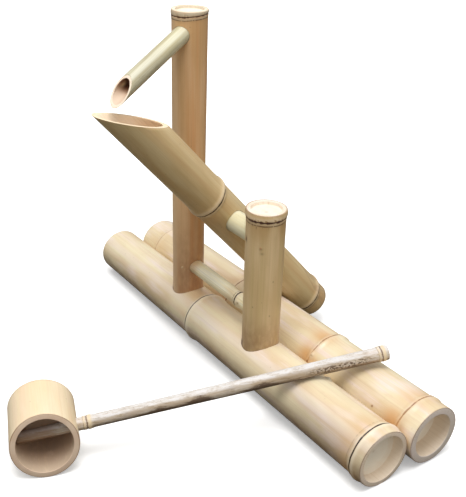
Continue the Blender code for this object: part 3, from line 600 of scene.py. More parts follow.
@dataclass
class Look:
    """Colours and amounts of a bamboo finish."""

    light: tuple
    tan: tuple
    warm: tuple
    streaks: float
    streak: tuple = tone(166, 130, 84)
    spot: tuple = tone(150, 112, 68)
    node_tint: tuple = tone(214, 166, 112)
    ridge: tuple = tone(232, 212, 180)
    line: tuple = tone(52, 32, 18)
    rim: tuple = tone(150, 118, 92)
    bloom: tuple = tone(246, 232, 218)
    cut: tuple = tone(222, 198, 170)
    inside: tuple = tone(212, 182, 146)
    shell: tuple = tone(232, 216, 192)
    warmth: float = 0.5
    blooming: float = 0.4
    graining: float = 0.14
    mottling: float = 0.05
    specks: float = 0.25
    node_warmth: float = 0.5
    glow_side: float = -1.0
    ridge_strength: float = 0.5
    line_width: float = 0.0010
    line_strength: float = 1.0
    uneven: float = 0.6
    breaks: float = 0.2
    second_line: float = 0.35
    second_place: float = 0.0044
    glows: tuple = (1.0,) * MOST_NODES
    lines: tuple = (1.0,) * MOST_NODES
    seconds: tuple = (1.0,) * MOST_NODES
    cracks: float = 0.0
    smudges: float = 0.0
    rim_width: float = 0.0022
    rim_strength: float = 0.35
    gloss: float = 0.30
    roughening: float = 0.1
    shine: float = 0.5
    # Painted highlight: side in degrees, band of facing and strength of a lighter lengthwise stripe in the tone below
    sheen: tuple = ()
    sheen_tone: tuple = tone(250, 246, 232)
    # Painted shade on one side: side in degrees, band of facing, where along the culm it starts, and strength; it
    # takes the darker tone below
    dusk: tuple = ()
    # Painted shade towards the ground: model height where it starts, height where it is full, and strength; the tone
    # below colours it and the painted shade on a side
    damp: tuple = ()
    damp_tone: tuple = tone(126, 92, 60)
    # Painted light in the bore: how far the inside lightens towards the open high end, over a depth, to the tone
    # below
    mouth: float = 0.0
    mouth_depth: float = 0.03
    mouth_tone: tuple = tone(214, 190, 166)
    # Bark on a branch; its strength also sets the painted shade on the underside and the dark flakes, in the tone
    # below
    under: float = 0.0
    under_tone: tuple = tone(84, 62, 44)


def look_of(settings, **changes):
    """A finish in the colours of its settings, apart from what is named."""
    own = {key: getattr(settings, key) for key in ("light", "tan", "warm", "streaks")}
    return Look(**{**own, **changes})


def ringed(graph, culm, spot, cos, sin, broad, streak, skin, look):
    """The rings of a culm's nodes laid over the colour of the skin."""
    z, seed, width = spot[2], culm.seed, look.line_width
    rings = None
    for number, node in enumerate(culm.nodes):
        plain = z - node - spot[1] * culm.tilt
        ring = plain + ring_wave(graph, cos, sin, number, seed)
        glow = (plain - look.glow_side * GLOW_SHIFT).hump(GLOW_WIDTH) * (look.node_warmth * look.glows[number])
        pale = (ring - PALE_ABOVE).hump(PALE_ABOVE_WIDTH).most((ring + PALE_BELOW).hump(PALE_BELOW_WIDTH) * 0.7)
        skin = graph.lay(skin, (glow * broad.between(0.25, 0.60), look.node_tint),
                         (pale * look.ridge_strength, look.ridge))
        broken = streak.between(0.25, 0.50) * look.breaks + (1.0 - look.breaks)
        thick = graph.noise(cos * 4.5, sin * 4.5, seed + number, detail=1.0).between(0.30, 0.70)
        thick = thick * look.uneven + (1.0 - look.uneven * 0.5)
        dark = (abs(ring) * (1.0 / thick)).between(width * 1.5, width * 0.6)
        dark = dark * broken * (look.line_strength * look.lines[number])
        fine = (ring + look.second_place).hump(width * 0.6) * (look.second_line * look.seconds[number])
        dark = dark.most(fine * streak.between(0.30, 0.55))
        if look.cracks:
            split = graph.noise(cos * 17.0, sin * 17.0, z * 90.0 + seed, detail=1.0).between(0.60, 0.68)
            below = plain.between(-0.0120, -0.0060) * plain.between(-0.0020, -0.0045)
            dark = dark.most(split * below * look.cracks)
        if look.smudges:
            blots = graph.noise(cos * 9.0, sin * 9.0, z * 260.0 + seed).between(0.50, 0.66)
            above = plain.between(-0.0005, 0.0010) * plain.between(0.0055, 0.0025)
            skin = graph.mix(blots * above * look.smudges, skin, look.spot)
        rings = dark if rings is None else rings.most(dark)
    return skin if rings is None else graph.mix(rings, skin, look.line)


MARKS = {
    "bud": (("ridge", 0.90, (0.0042, 0.0036)), ("streak", 0.80, (0.0012, 0.0024))),
    # A pale bump with a dark ring round it; the ring is painted shadow around the bump
    "nub": (("line", 0.55, (0.0046, 0.0052)), ("ridge", 1.00, (0.0028, 0.0032))),
    "glow": (("node_tint", 0.85, (0.0140, 0.0130)),),
    "knot": (("line", 0.26, (0.0026, 0.0022)), ("line", 0.22, (0.0010, 0.0010))),
    "dot": (("line", 1.00, (0.0014, 0.0014)),),
    "speck": (("line", 0.45, (0.0009, 0.0012)),),
    # Painted shadow in the gap where a post meets a pole or the axle
    "slit": (("line", 0.90, (0.0022, 0.0042)),),
    # A painted shadow, used inside the spout's bore
    "dark": (("line", 0.85, (0.0050, 0.0110)),),
    "curl": (("ridge", 1.00, (0.0022, 0.0055)),),
    "stain": (("line", 0.75, (0.0045, 0.0060)), ("node_tint", 0.70, (0.0090, 0.0120))),
}


def marked(graph, marks, culm, cos, sin, z, skin, look):
    """Bud scars, knots, dots, and slits of painted shadow in gaps, laid over a colour."""
    return graph.lay(skin, *(
        (nearness(cos, sin, z, culm.inward(place), size) * strength, getattr(look, shade))
        for kind, place in marks for shade, strength, size in MARKS[kind]))


def barked(graph, cos, sin, z, seed, skin, look):
    """Torn papery sheath laid over a branch, crinkled towards its tip: white on top as a painted highlight, cream and
    brown below, darkening to painted shade on the underside.
    """
    veins = graph.noise(cos * 2.0, sin * 2.0, z * 60.0 + sin * 1.6 + seed, detail=5.0, roughness=0.85)
    patch = graph.noise(cos * 0.6, sin * 0.6, z * 17.0 + seed, detail=1.0)
    flakes = graph.noise(cos * 4.0, sin * 4.0, z * 300.0 + seed)
    # Painted highlight: the top is lightened to the bloom tone and shows fewer veins
    top = sin.between(0.45, 0.90)
    stained = (z - 0.190).hump(0.017) * 0.44 + (z - 0.136).hump(0.018) * 0.26 + (z - 0.265).hump(0.020) * 0.22
    # Painted shade: darker on the underside, mixed with veins, patches and stains
    lower = veins * 0.9 + patch * 0.4 + stained - sin * 0.45
    side = sin.between(0.72, 0.40) * sin.between(-0.40, -0.05)
    torn = flakes.between(0.47, 0.55) * z.between(0.315, 0.345) * z.between(0.412, 0.395) * side
    return graph.lay(
        skin,
        (top * 0.7, look.bloom),
        (veins.between(0.45, 0.57) * (0.75 - top * 0.35), look.tan),
        (veins.between(0.54, 0.64) * (0.60 - top * 0.30), look.spot),
        (patch.between(0.50, 0.62) * sin.between(0.95, 0.60) * 0.45, look.warm),
        (lower.between(0.70, 0.95) * look.under, look.under_tone),
        (torn * look.under, look.under_tone),
        (z.between(0.022, 0.004) * 0.55, tone(128, 88, 58)))


def new_material(name):
    """A material with its shader and the graph of its tree."""
    material = bpy.data.materials.new(name)
    material.use_nodes = True
    return material, material.node_tree.nodes["Principled BSDF"], Graph(material.node_tree)


def object_place(graph):
    """The place on an object in its own coordinates."""
    return graph.out(graph.add("ShaderNodeTexCoord"), "Object")


def bamboo(name, culm, look):
    """Material of one culm: skin with grain and node rings, cut ends with fibres, smooth pale inside; where a look
    asks for them, painted highlight, painted shade and painted light inside the mouth.
    """
    material, shader, graph = new_material(name)
    place, seed = object_place(graph), culm.seed
    x, y, z = graph.split(graph.out(graph.add("ShaderNodeMapping", {
        "Vector": place, "Location": culm.place, "Rotation": culm.turned}, vector_type="TEXTURE")))
    reach, cos, sin = graph.around(x, y)
    girth = 0.5 * (culm.low_radius + culm.high_radius)

    broad = graph.noise(cos * 1.1, sin * 1.1, z * 8.0 + seed)
    band = graph.noise(cos * 2.6, sin * 2.6, z * 2.2 + seed * 2.0, detail=2.5, roughness=0.6)
    bloom = graph.noise(cos * 2.0, sin * 2.0, z * 13.0 + seed * 3.0)
    streak = graph.noise(cos * girth * 380.0, sin * girth * 380.0, z * 4.0 + seed, detail=3.0, roughness=0.6)
    grain = graph.noise(cos * girth * 1700.0, sin * girth * 1700.0, z * 22.0 + seed)
    mottle = graph.noise(x * 130.0, y * 130.0, z * 60.0 + seed, detail=3.0, roughness=0.65)

    brushed = bloom.between(0.46, 0.70) * (streak.between(0.38, 0.58) * 0.6 + 0.4)
    skin = graph.lay(
        look.light,
        (broad.between(0.34, 0.66), look.tan),
        (band.between(0.44, 0.70) * look.warmth, look.warm),
        (brushed * look.blooming, look.bloom),
        (streak.between(0.48, 0.78) * look.streaks, look.streak),
        (grain.between(0.40, 0.72) * look.graining, look.streak),
        (mottle.between(0.52, 0.74) * look.mottling, look.spot))
    if look.under:
        skin = barked(graph, cos, sin, z, seed, skin, look)
    # Painted shade darkening towards the ground, broken up by mottling, and a painted contact shadow along the very
    # bottom
    if look.damp:
        dry, wet, strength = look.damp
        above = graph.split(place)[2]
        damp = above.between(dry, wet) * (mottle.between(0.30, 0.60) * 0.5 + 0.5) * strength
        skin = graph.lay(skin, (damp, look.damp_tone), (above.between(0.015, 0.003) * 0.7, look.line))
    # Painted shade on the side that faces a given angle, over the culm beyond a given point
    if look.dusk:
        side, low, high, start, strength = look.dusk
        dusk = facing(cos, sin, side).between(low, high) * z.between(start - 0.03, start + 0.03) * strength
        skin = graph.mix(dusk, skin, look.damp_tone)
    # Painted highlight: a lighter lengthwise stripe on the side that faces a given angle
    if look.sheen:
        side, low, high, strength = look.sheen
        sheen = facing(cos, sin, side).between(low, high) * (broad.between(0.25, 0.60) * 0.3 + 0.7) * strength
        skin = graph.mix(sheen, skin, look.sheen_tone)
    skin = ringed(graph, culm, (x, y, z), cos, sin, broad, streak, skin, look)
    skin = marked(graph, culm.marks, culm, cos, sin, z, skin, look)
    apart, luck = graph.cells(x * 95.0, y * 95.0, z * 95.0)
    level = z
    if culm.slant < math.pi / 2:
        slope, reached = 1.0 / math.tan(culm.slant), culm.high - culm.slant_from
        level = (z * reached - y * slope * culm.slant_from) / (reached - y * slope)
    half = 0.5 * (culm.high - culm.low)
    ends = abs(level - 0.5 * (culm.low + culm.high)).between(half - look.rim_width, half)
    skin = graph.lay(skin, ((apart < 0.08) * (luck > 0.75) * look.specks, look.line),
                     (ends * look.rim_strength * mottle.between(0.3, 0.6), look.rim))

    bundle, _ = graph.cells(x * 950.0, y * 950.0, z * 3.0)
    taper = (culm.high_radius - culm.low_radius) / (culm.high - culm.low)
    outward = (reach - z * taper - (culm.low_radius - culm.low * taper - culm.wall)) / culm.wall
    face = graph.lay(
        look.cut,
        (bundle.between(0.42, 0.20) * (outward.between(-0.2, 1.0) * 0.45 + 0.10), look.streak),
        (outward.between(0.78, 0.96) * 0.85, look.rim),
        (broad.between(0.4, 0.7) * 0.30, look.bloom))
    # The inside, lightened near the open high end as painted light
    hollow = graph.lay(
        look.inside,
        (streak.between(0.45, 0.80) * 0.25, look.streak),
        (mottle.between(0.50, 0.80) * 0.25, look.warm),
        (z.between(culm.high - look.mouth_depth, culm.high) * look.mouth, look.mouth_tone))
    hollow = marked(graph, culm.inner_marks, culm, cos, sin, z, hollow, look)
    shell = graph.lay(
        look.shell,
        (graph.noise(reach * 700.0, 0.0, seed, detail=1.0).between(0.40, 0.70) * 0.16, look.tan),
        (mottle.between(0.45, 0.75) * 0.20, look.warm),
        (reach.hump(0.0022) * 0.30, look.streak),
        ((reach * (1.0 / (girth - culm.wall))).between(0.72, 1.0) * 0.35, look.inside))

    zone = graph.out(graph.add("ShaderNodeAttribute", attribute_name="zone", attribute_type="GEOMETRY"), "Fac")
    shade = graph.lay(skin, (zone > CUT - 0.5, face), (zone > BORE - 0.5, hollow), (zone > DIAPHRAGM - 0.5, shell))
    worn = streak.between(0.3, 0.8) * 0.12 + look.gloss + (zone > CUT - 0.5) * 0.28
    height = grain * 0.5 + streak * 0.5 + mottle * look.roughening
    graph.shade(shader, shade, worn, height, 0.35, 0.0006)
    shader.inputs["Specular IOR Level"].default_value = look.shine
    return material


def wood(name, light, dark, scale):
    """Material of pins and dowels: split bamboo with fibres, blots and dark specks."""
    material, shader, graph = new_material(name)
    x, y, z = graph.split(object_place(graph))
    fibre = graph.noise(x * scale, y * scale * 0.5, z * scale, detail=3.0)
    blot = graph.noise(x * scale * 0.2, y * scale * 0.2, z * scale * 0.2)
    apart, _ = graph.cells(x * scale * 1.6, y * scale * 0.3, z * scale * 1.6)
    shade = graph.lay(light, (fibre.between(0.35, 0.70), dark), (blot.between(0.45, 0.75) * 0.5, dark),
                      ((apart < 0.25) * 0.25, tone(120, 88, 56)))
    graph.shade(shader, shade, fibre * 0.2 + 0.55, fibre, 0.4, 0.0004)
    return material


def along(way):
    """Turning that puts Z along a direction."""
    return Vector(way).to_track_quat("Z", "Y").to_euler()


def aimed(rise, turned):
    """Turning that lifts Z by one angle and turns it from -Y towards +X by another."""
    return Euler((math.pi / 2 - rise, 0.0, turned))


def level_hole(start, end, height, radius):
    """A hole along X between two places."""
    return (start, 0.0, height), (end, 0.0, height), radius


class PoleSettings(bpy.types.PropertyGroup):
    """Ground poles."""
    front_far_radius: length("Front far radius", "Radius of the front pole at its far end", 0.0332)
    front_near_radius: length("Front near radius", "Radius of the front pole at its near end", 0.0370)
    rear_far_radius: length("Rear far radius", "Radius of the rear pole at its far end", 0.0352)
    rear_near_radius: length("Rear near radius", "Radius of the rear pole at its near end", 0.0382)
    swelling: length("Swelling", "How far the nodes stand out", 0.0018)
    light: colour("Straw", "Lightest tone of the skin", (240, 226, 190))
    tan: colour("Tan", "Darker tone of the skin", (226, 203, 164))
    warm: colour("Blush", "Pinkish tone that comes in long patches", (230, 203, 172))
    streaks: share("Streaks", "Strength of the lengthwise streaks", 0.20)


class PostSettings(bpy.types.PropertyGroup):
    """Posts."""
    tall_top: length("Tall top", "Height of the tall post", 0.4698)
    short_top: length("Short top", "Height of the short post", 0.2610)
    light: colour("Tall tan", "Lighter tone of the tall post", (224, 184, 138))
    tan: colour("Tall brown", "Darker tone of the tall post", (212, 170, 120))
    warm: colour("Tall orange", "Orange tone of its long streaks", (214, 158, 106))
    short_light: colour("Short straw", "Lighter tone of the short post", (226, 198, 152))
    short_tan: colour("Short tan", "Darker tone of the short post", (214, 184, 134))
    streaks: share("Streaks", "Strength of the lengthwise streaks", 0.30)


class BarSettings(bpy.types.PropertyGroup):
    """Axle, crossbar and spout."""
    axle_radius: length("Axle radius", "Radius of the axle", 0.0147)
    bar_radius: length("Crossbar radius", "Radius of the crossbar", 0.0101)
    spout_radius: length("Spout radius", "Radius of the spout", 0.0115)
    spout_slant: turn("Spout slant", "Angle between the spout's cut and its axis", 30.3)
    light: colour("Pale green straw", "Lightest tone of the thin culms", (234, 228, 194))
    tan: colour("Straw", "Darker tone of the thin culms", (220, 211, 168))
    warm: colour("Yellow", "Yellow tone that comes in patches", (224, 208, 158))
    streaks: share("Streaks", "Strength of the lengthwise streaks", 0.25)


class TubeSettings(bpy.types.PropertyGroup):
    """Tipping tube."""
    rise: turn("Rise", "Angle of the resting tube above level", 48.37996)
    slant: turn("Slant", "Angle between the mouth's cut and the axis", 32.7)
    light: colour("Straw", "Lighter tone of the tube", (214, 190, 142))
    tan: colour("Olive tan", "Darker tone of the tube", (200, 170, 120))
    warm: colour("Brown", "Brown tone that comes in patches", (198, 160, 112))
    streaks: share("Streaks", "Strength of the lengthwise streaks", 0.22)


class LadleSettings(bpy.types.PropertyGroup):
    """Ladle."""
    cup_radius: length("Cup radius", "Outer radius of the cup", 0.0402)
    turned: turn("Turn", "Direction of the cup's mouth from the front", 69.2)
    rise: turn("Rise", "Angle of the handle above level", 7.114716)
    light: colour("Cup cream", "Lightest tone of the cup", (248, 230, 196))
    tan: colour("Cup straw", "Darker tone of the cup", (242, 218, 178))
    warm: colour("Cup blush", "Pinkish tone of the cup", (244, 212, 180))
    bark: colour("Handle grey", "Grey bloom on the handle", (218, 210, 198))
    dark: colour("Handle brown", "Brown that shows between the bloom", (132, 102, 74))
    streaks: share("Streaks", "Strength of the lengthwise streaks", 0.20)


class PinSettings(bpy.types.PropertyGroup):
    """Pins and dowels."""
    pin_radius: length("Pin radius", "Radius of the pins through the bars", 0.0017)
    foot_radius: length("Foot pin radius", "Radius of the pins in the posts' feet", 0.0025)
    dowel_radius: length("Dowel radius", "Radius of the dowels between the poles", 0.0035)
    light: colour("Light", "Light tone of the pins", (238, 212, 168))
    dark: colour("Dark", "Dark tone of the pins", (204, 170, 124))


class StageSettings(bpy.types.PropertyGroup):
    """Stage, light and camera."""
    key: bpy.props.FloatProperty(name="Overhead light", description="Power of the overhead light", default=36.0,
                                 min=0.0, unit="POWER")
    sky: share("Sky", "Strength of the light from all round", 0.66)
    floor: colour("Floor", "Colour of the floor", (252, 252, 251))
    focal: bpy.props.FloatProperty(name="Focal length", description="Focal length in millimetres on a 36 mm frame",
                                   default=64.32, min=1.0)


class FountainPiece:
    """What every piece operator shares."""
    bl_options = {"REGISTER", "UNDO"}


class FOUNTAIN_OT_poles(bpy.types.Operator, FountainPiece):
    """Make the two ground poles."""
    bl_idname = "fountain.poles"
    bl_label = "Ground poles"

    def execute(self, context):
        settings = context.scene.fountain_poles
        shared = dict(blooming=0.75, graining=0.08, specks=0.15, streak=tone(178, 142, 98),
                      inside=tone(240, 222, 198), shell=tone(252, 244, 226))
        bud = (0.2050, 0.0202, 0.0657)
        posts = ((TALL_PLACE, TALL_HOLE), (SHORT_PLACE, SHORT_HOLE))
        front = Culm(
            "front_pole", (0.0, 0.0, FRONT_HEIGHT), along((1.0, 0.0, FRONT_SLOPE)), -0.2984, 0.3306,
            settings.front_far_radius, settings.front_near_radius, 0.0062, (-0.0409, 0.3148), low_recess=0.18,
            high_recess=0.0163, swelling=settings.swelling, step=0.0005, seed=1.0, on_ground=True, bud=bud,
            bud_height=0.0042,
            holes=[((place, 0.0, FOOT_HEIGHT), (place, 0.0, FOOT_TOP), radius) for place, radius in posts],
            # The nub marks carry a painted shadow ring
            marks=[("nub", bud), ("nub", (0.1915, 0.0205, 0.0655)), ("stain", (0.3090, -0.0340, 0.0190))])
        # Painted highlight stripe along the upper front, painted shade on the front side towards the near end, and
        # painted shade towards the ground
        look = look_of(
            settings, **shared, second_line=0.22, second_place=0.0080, seconds=(0.0, 1.0, 0.0, 0.0),
            line=tone(30, 16, 7), line_width=0.0012, uneven=0.25, breaks=0.1, node_warmth=0.35,
            ridge=tone(252, 240, 214), bloom=tone(246, 230, 222), cut=tone(239, 219, 194),
            sheen=(133.0, 0.970, 0.9985, 0.30), sheen_tone=tone(252, 238, 230), dusk=(180.0, 0.50, 0.80, 0.20, 0.28),
            damp=(0.050, 0.006, 0.85))
        dress(front, "frame", "front_pole_bamboo", look)
        bud = (0.1462, 0.0432, 0.0590)
        rear = Culm(
            "rear_pole", (0.0, REAR_SIDE, REAR_HEIGHT), along((1.0, REAR_SIDE_SLOPE, REAR_SLOPE)), -0.2874, 0.3341,
            settings.rear_far_radius, settings.rear_near_radius, 0.0092, (-0.247189, -0.046382, 0.142400, 0.306878),
            low_recess=0.0386, high_recess=0.0256, swelling=settings.swelling, groove=0.0004, seed=5.0, tilt=0.06,
            on_ground=True, bud=bud, bud_height=0.0022,
            marks=[("glow", (0.1360, 0.0420, 0.0560)), ("glow", (0.2990, 0.0440, 0.0500)), ("bud", bud),
                   ("dot", (0.1424, 0.0402, 0.0492)), ("dot", (0.2639, 0.0425, 0.0525))])
        for place, _, _, _ in DOWELS:
            side = REAR_SIDE + REAR_SIDE_SLOPE * place
            height = 0.5 * (FRONT_HEIGHT + FRONT_SLOPE * place + REAR_HEIGHT + REAR_SLOPE * place)
            rear.holes.append(((place, side, height), (place, side + DOWEL_DEPTH, height), DOWEL_HOLE))
        # Painted shade towards the ground
        look = look_of(
            settings, **shared, node_warmth=0.85, glow_side=-0.6, glows=(0.1, 0.5, 1.0, 0.8), second_line=0.0,
            line=tone(140, 88, 48), line_strength=0.8, lines=(0.4, 1.0, 1.0, 1.0), breaks=0.6, ridge_strength=0.45,
            bloom=tone(246, 230, 224), cut=tone(230, 216, 202), damp=(0.040, 0.004, 0.5))
        dress(rear, "frame", "rear_pole_bamboo", look)
        return {"FINISHED"}


class FOUNTAIN_OT_posts(bpy.types.Operator, FountainPiece):
    """Make the tall and the short post."""
    bl_idname = "fountain.posts"
    bl_label = "Posts"

    def execute(self, context):
        settings = context.scene.fountain_posts
        root, way = Vector(SPOUT_ROOT), Vector(SPOUT_WAY)
        tall = Culm(
            "tall_post", (TALL_PLACE, 0.0, 0.0), Euler(), 0.0156, settings.tall_top, 0.02225, 0.0238, 0.0050,
            (settings.tall_top - 0.0054,), high_recess=0.0040, seed=9.0, oval=0.0002, wobble=0.0005, corner=0.001,
            groove=0.0009, swelling=0.0006, step=0.0003, tilt=0.07,
            holes=[level_hole(-0.0993, 0.0, AXLE_HEIGHT, AXLE_HOLE), level_hole(-0.0993, 0.0, BAR_HEIGHT, BAR_HOLE),
                   (root - way * 0.009, root + way * 0.09, SPOUT_HOLE)])
        # A painted highlight stripe down one side, and painted shade towards the foot
        look = look_of(
            settings, streak=tone(176, 122, 72), warmth=0.85, blooming=0.12, bloom=tone(206, 172, 124), graining=0.12,
            gloss=0.38, node_warmth=0.3, ridge=tone(204, 188, 160), ridge_strength=0.9, line=tone(98, 64, 40),
            line_width=0.0009, second_line=0.9, breaks=0.3, uneven=0.7, smudges=0.5, rim=tone(206, 190, 164),
            rim_width=0.0060, rim_strength=0.9, sheen=(234.0, 0.35, 0.95, 0.60), sheen_tone=tone(246, 214, 172),
            damp=(0.215, 0.065, 0.52), damp_tone=tone(150, 98, 72), cut=tone(234, 222, 202),
            inside=tone(222, 208, 184), shell=tone(240, 232, 216))
        dress(tall, "frame", "tall_post_bamboo", look)
        short = Culm(
            "short_post", (SHORT_PLACE, 0.0, 0.0), Euler(), 0.0180, settings.short_top, 0.02465, 0.0253, 0.0055,
            (settings.short_top - 0.0083,), high_recess=0.0048, seed=13.0, tilt=0.04, wobble=0.0006, corner=0.001,
            groove=0.0008, swelling=0.0007, step=0.0008,
            holes=[level_hole(0.0, 0.1018, AXLE_HEIGHT, AXLE_HOLE), level_hole(0.0, 0.0972, BAR_HEIGHT, BAR_HOLE)],
            marks=[("knot", (0.1054, -0.0186, 0.2155)), ("knot", (0.1065, -0.0176, 0.2094)),
                   ("speck", (0.1126, -0.0058, 0.1188)), ("speck", (0.0986, -0.0225, 0.1302)),
                   # The two marks low at the foot and beside the axle are painted shadows in the gaps
                   ("speck", (0.1135, -0.0033, 0.1687)), ("slit", (0.0800, -0.0231, 0.0680)),
                   ("slit", (0.0811, -0.0240, 0.2216))])
        # Painted shade towards the foot, where the post stands in the pole
        look = look_of(
            settings, light=settings.short_light, tan=settings.short_tan, warm=tone(210, 184, 128),
            streak=tone(160, 126, 76), streaks=0.16, blooming=0.12, bloom=tone(206, 180, 134), graining=0.10,
            gloss=0.36, node_warmth=0.55, node_tint=tone(182, 142, 92), line=tone(84, 46, 28), line_width=0.0014,
            breaks=0.35, uneven=0.8, second_line=0.8, second_place=0.0052, smudges=0.8, cracks=0.6,
            damp=(0.125, 0.075, 0.55), damp_tone=tone(150, 108, 76), cut=tone(242, 228, 212),
            inside=tone(246, 230, 210), shell=tone(238, 230, 216))
        dress(short, "frame", "short_post_bamboo", look)
        return {"FINISHED"}


class FOUNTAIN_OT_bars(bpy.types.Operator, FountainPiece):
    """Make the axle and the crossbar."""
    bl_idname = "fountain.bars"
    bl_label = "Axle and crossbar"

    def execute(self, context):
        settings = context.scene.fountain_bars
        level = along((1.0, 0.0, 0.0))
        shared = dict(low_recess=0.02, high_recess=0.02, oval=0.0, sides=BAR_SIDES)
        axle = Culm(
            "axle", (0.0, 0.0, AXLE_HEIGHT), level, -0.0978, 0.1014, settings.axle_radius, settings.axle_radius,
            0.0035, seed=17.0, wobble=0.0002, **shared)
        look = look_of(settings, streak=tone(188, 172, 118), node_warmth=0.2, bloom=tone(246, 244, 226))
        dress(axle, "frame", "bar_bamboo", look, "axle bamboo")
        bud = (0.0496, -0.0100, 0.1076)
        bar = Culm(
            "crossbar", (0.0, 0.0, BAR_HEIGHT), level, -0.0978, 0.0967, settings.bar_radius, settings.bar_radius,
            0.0034, (0.0416,), seed=21.0, wobble=0.0003, swelling=0.0011, groove=0.0006, bud=bud, bud_height=0.0014,
            marks=[("glow", (-0.0650, -0.0060, 0.1128)), ("bud", bud)], **shared)
        look = look_of(
            settings, light=tone(255, 249, 220), tan=tone(250, 238, 192), warm=tone(246, 224, 168),
            streak=tone(150, 124, 72), streaks=0.45, node_tint=tone(190, 152, 104), line=tone(60, 36, 14),
            line_width=0.0012, second_line=0.8, bloom=tone(250, 248, 232))
        dress(bar, "frame", "bar_bamboo", look, "crossbar bamboo")
        return {"FINISHED"}


class FOUNTAIN_OT_tube(bpy.types.Operator, FountainPiece):
    """Make the tipping tube."""
    bl_idname = "fountain.tube"
    bl_label = "Tipping tube"

    def execute(self, context):
        settings = context.scene.fountain_tube
        tube = Culm(
            "tipping_tube", (0.0, 0.0, AXLE_HEIGHT), aimed(settings.rise, 0.0), -0.2434, 0.2082, 0.0272, 0.0279,
            0.0050, (-0.2202, 0.0435), low_recess=0.0216, high_recess=0.163, slant=settings.slant, slant_from=0.06,
            step=0.0004, tilt=0.11, seed=25.0, oval=0.0002, wobble=0.0004,
            holes=[level_hole(-0.06, 0.06, AXLE_HEIGHT, TUBE_HOLE)])
        look = look_of(
            settings, streak=tone(158, 122, 72), blooming=0.20, bloom=tone(214, 196, 158), node_warmth=0.35,
            line=tone(44, 26, 12), second_line=0.25, gloss=0.36, cut=tone(246, 226, 194), inside=tone(248, 226, 198),
            shell=tone(240, 220, 190))
        dress(tube, "tube", "tube_bamboo", look)
        return {"FINISHED"}


class FOUNTAIN_OT_spout(bpy.types.Operator, FountainPiece):
    """Make the spout."""
    bl_idname = "fountain.spout"
    bl_label = "Spout"

    def execute(self, context):
        settings = context.scene.fountain_bars
        spout = Culm(
            "spout", SPOUT_ROOT, aimed(SPOUT_RISE, SPOUT_TURN), -0.0080, 0.1656, settings.spout_radius,
            settings.spout_radius, 0.0024, high_recess=0.16, slant=settings.spout_slant, slant_from=0.03, seed=29.0,
            oval=0.0, wobble=0.0003, sides=BAR_SIDES, torn=0.128,
            # Inside the bore: a painted shadow beside a pale curl of pith
            inner_marks=[("dark", (-0.0345, -0.1218, 0.4041)), ("curl", (-0.0326, -0.1290, 0.4057))])
        # Painted shade: the dark inside deep in the bore, lightened near the mouth as painted light, and darker all
        # round over the outer half; painted highlight: a lighter stripe along one side
        look = look_of(
            settings, light=tone(208, 202, 168), tan=tone(184, 174, 136), warm=tone(188, 172, 130),
            streak=tone(160, 150, 108), bloom=tone(226, 224, 204), graining=0.10, mottling=0.30,
            spot=tone(156, 146, 112), gloss=0.22, shine=0.6, line=tone(74, 44, 24), ridge=tone(250, 226, 178),
            rim=tone(140, 128, 96), rim_width=0.0030, rim_strength=0.5, sheen=(62.0, 0.90, 1.0, 0.45),
            sheen_tone=tone(246, 245, 228), dusk=(0.0, -3.0, -2.0, 0.085, 0.32), damp_tone=tone(150, 140, 122),
            cut=tone(234, 214, 192), inside=tone(176, 130, 96), mouth=1.0, mouth_depth=0.0215)
        dress(spout, "frame", "spout_bamboo", look)
        return {"FINISHED"}


class FOUNTAIN_OT_cup(bpy.types.Operator, FountainPiece):
    """Make the ladle's cup."""
    bl_idname = "fountain.cup"
    bl_label = "Ladle cup"

    def execute(self, context):
        settings = context.scene.fountain_ladle
        radius = settings.cup_radius
        start = Vector((*HANDLE_PLACE, radius))
        handle = aimed(settings.rise, settings.turned + math.pi / 2).to_matrix() @ Vector((0.0, 0.0, 1.0))
        cup = Culm(
            "ladle_cup", (*CUP_PLACE, radius), aimed(0.0, settings.turned), -0.0763, 0.0, radius, radius, 0.0068,
            high_recess=0.0703, slant=CUP_SLANT, slant_from=-0.068, seed=33.0, wobble=0.0006, corner=0.005,
            on_ground=True, holes=[(start, start + handle * 0.06, HANDLE_HOLE)])
        # The cup's inside is lightened near its mouth as painted light
        look = look_of(
            settings, streak=tone(214, 182, 132), gloss=0.42, blooming=0.3, bloom=tone(248, 230, 204),
            cut=tone(218, 190, 164), rim=tone(140, 100, 72), inside=tone(186, 156, 130), shell=tone(204, 180, 156),
            mouth=0.26, mouth_depth=0.026, mouth_tone=tone(226, 214, 188))
        dress(cup, "ladle", "cup_bamboo", look)
        return {"FINISHED"}


class FOUNTAIN_OT_handle(bpy.types.Operator, FountainPiece):
    """Make the ladle's handle."""
    bl_idname = "fountain.handle"
    bl_label = "Ladle handle"

    def execute(self, context):
        settings = context.scene.fountain_ladle
        handle = Culm(
            "ladle_handle", (*HANDLE_PLACE, settings.cup_radius), aimed(settings.rise, settings.turned + math.pi / 2),
            -0.0322, 0.4329, 0.0074, 0.0094, 0.0030, (0.0515, 0.4234), swelling=0.0009, groove=0.0008, seed=37.0,
            oval=0.0001, sides=HANDLE_SIDES)
        # The handle's bark is painted lighter on top as a painted highlight and darker underneath as painted shade
        look = look_of(
            settings, light=settings.bark, tan=tone(188, 168, 138), warm=tone(168, 144, 116), streak=settings.dark,
            streaks=0.5, spot=tone(116, 94, 74), mottling=0.50, graining=0.30, bloom=tone(238, 238, 240),
            blooming=0.3, node_warmth=0.2, under=0.85, ridge=tone(232, 210, 172), ridge_strength=0.95,
            line=tone(112, 80, 54), line_width=0.0008, line_strength=0.75, second_line=0.6, gloss=0.50,
            roughening=1.4, cut=tone(206, 182, 150))
        dress(handle, "ladle", "handle_bamboo", look)
        return {"FINISHED"}


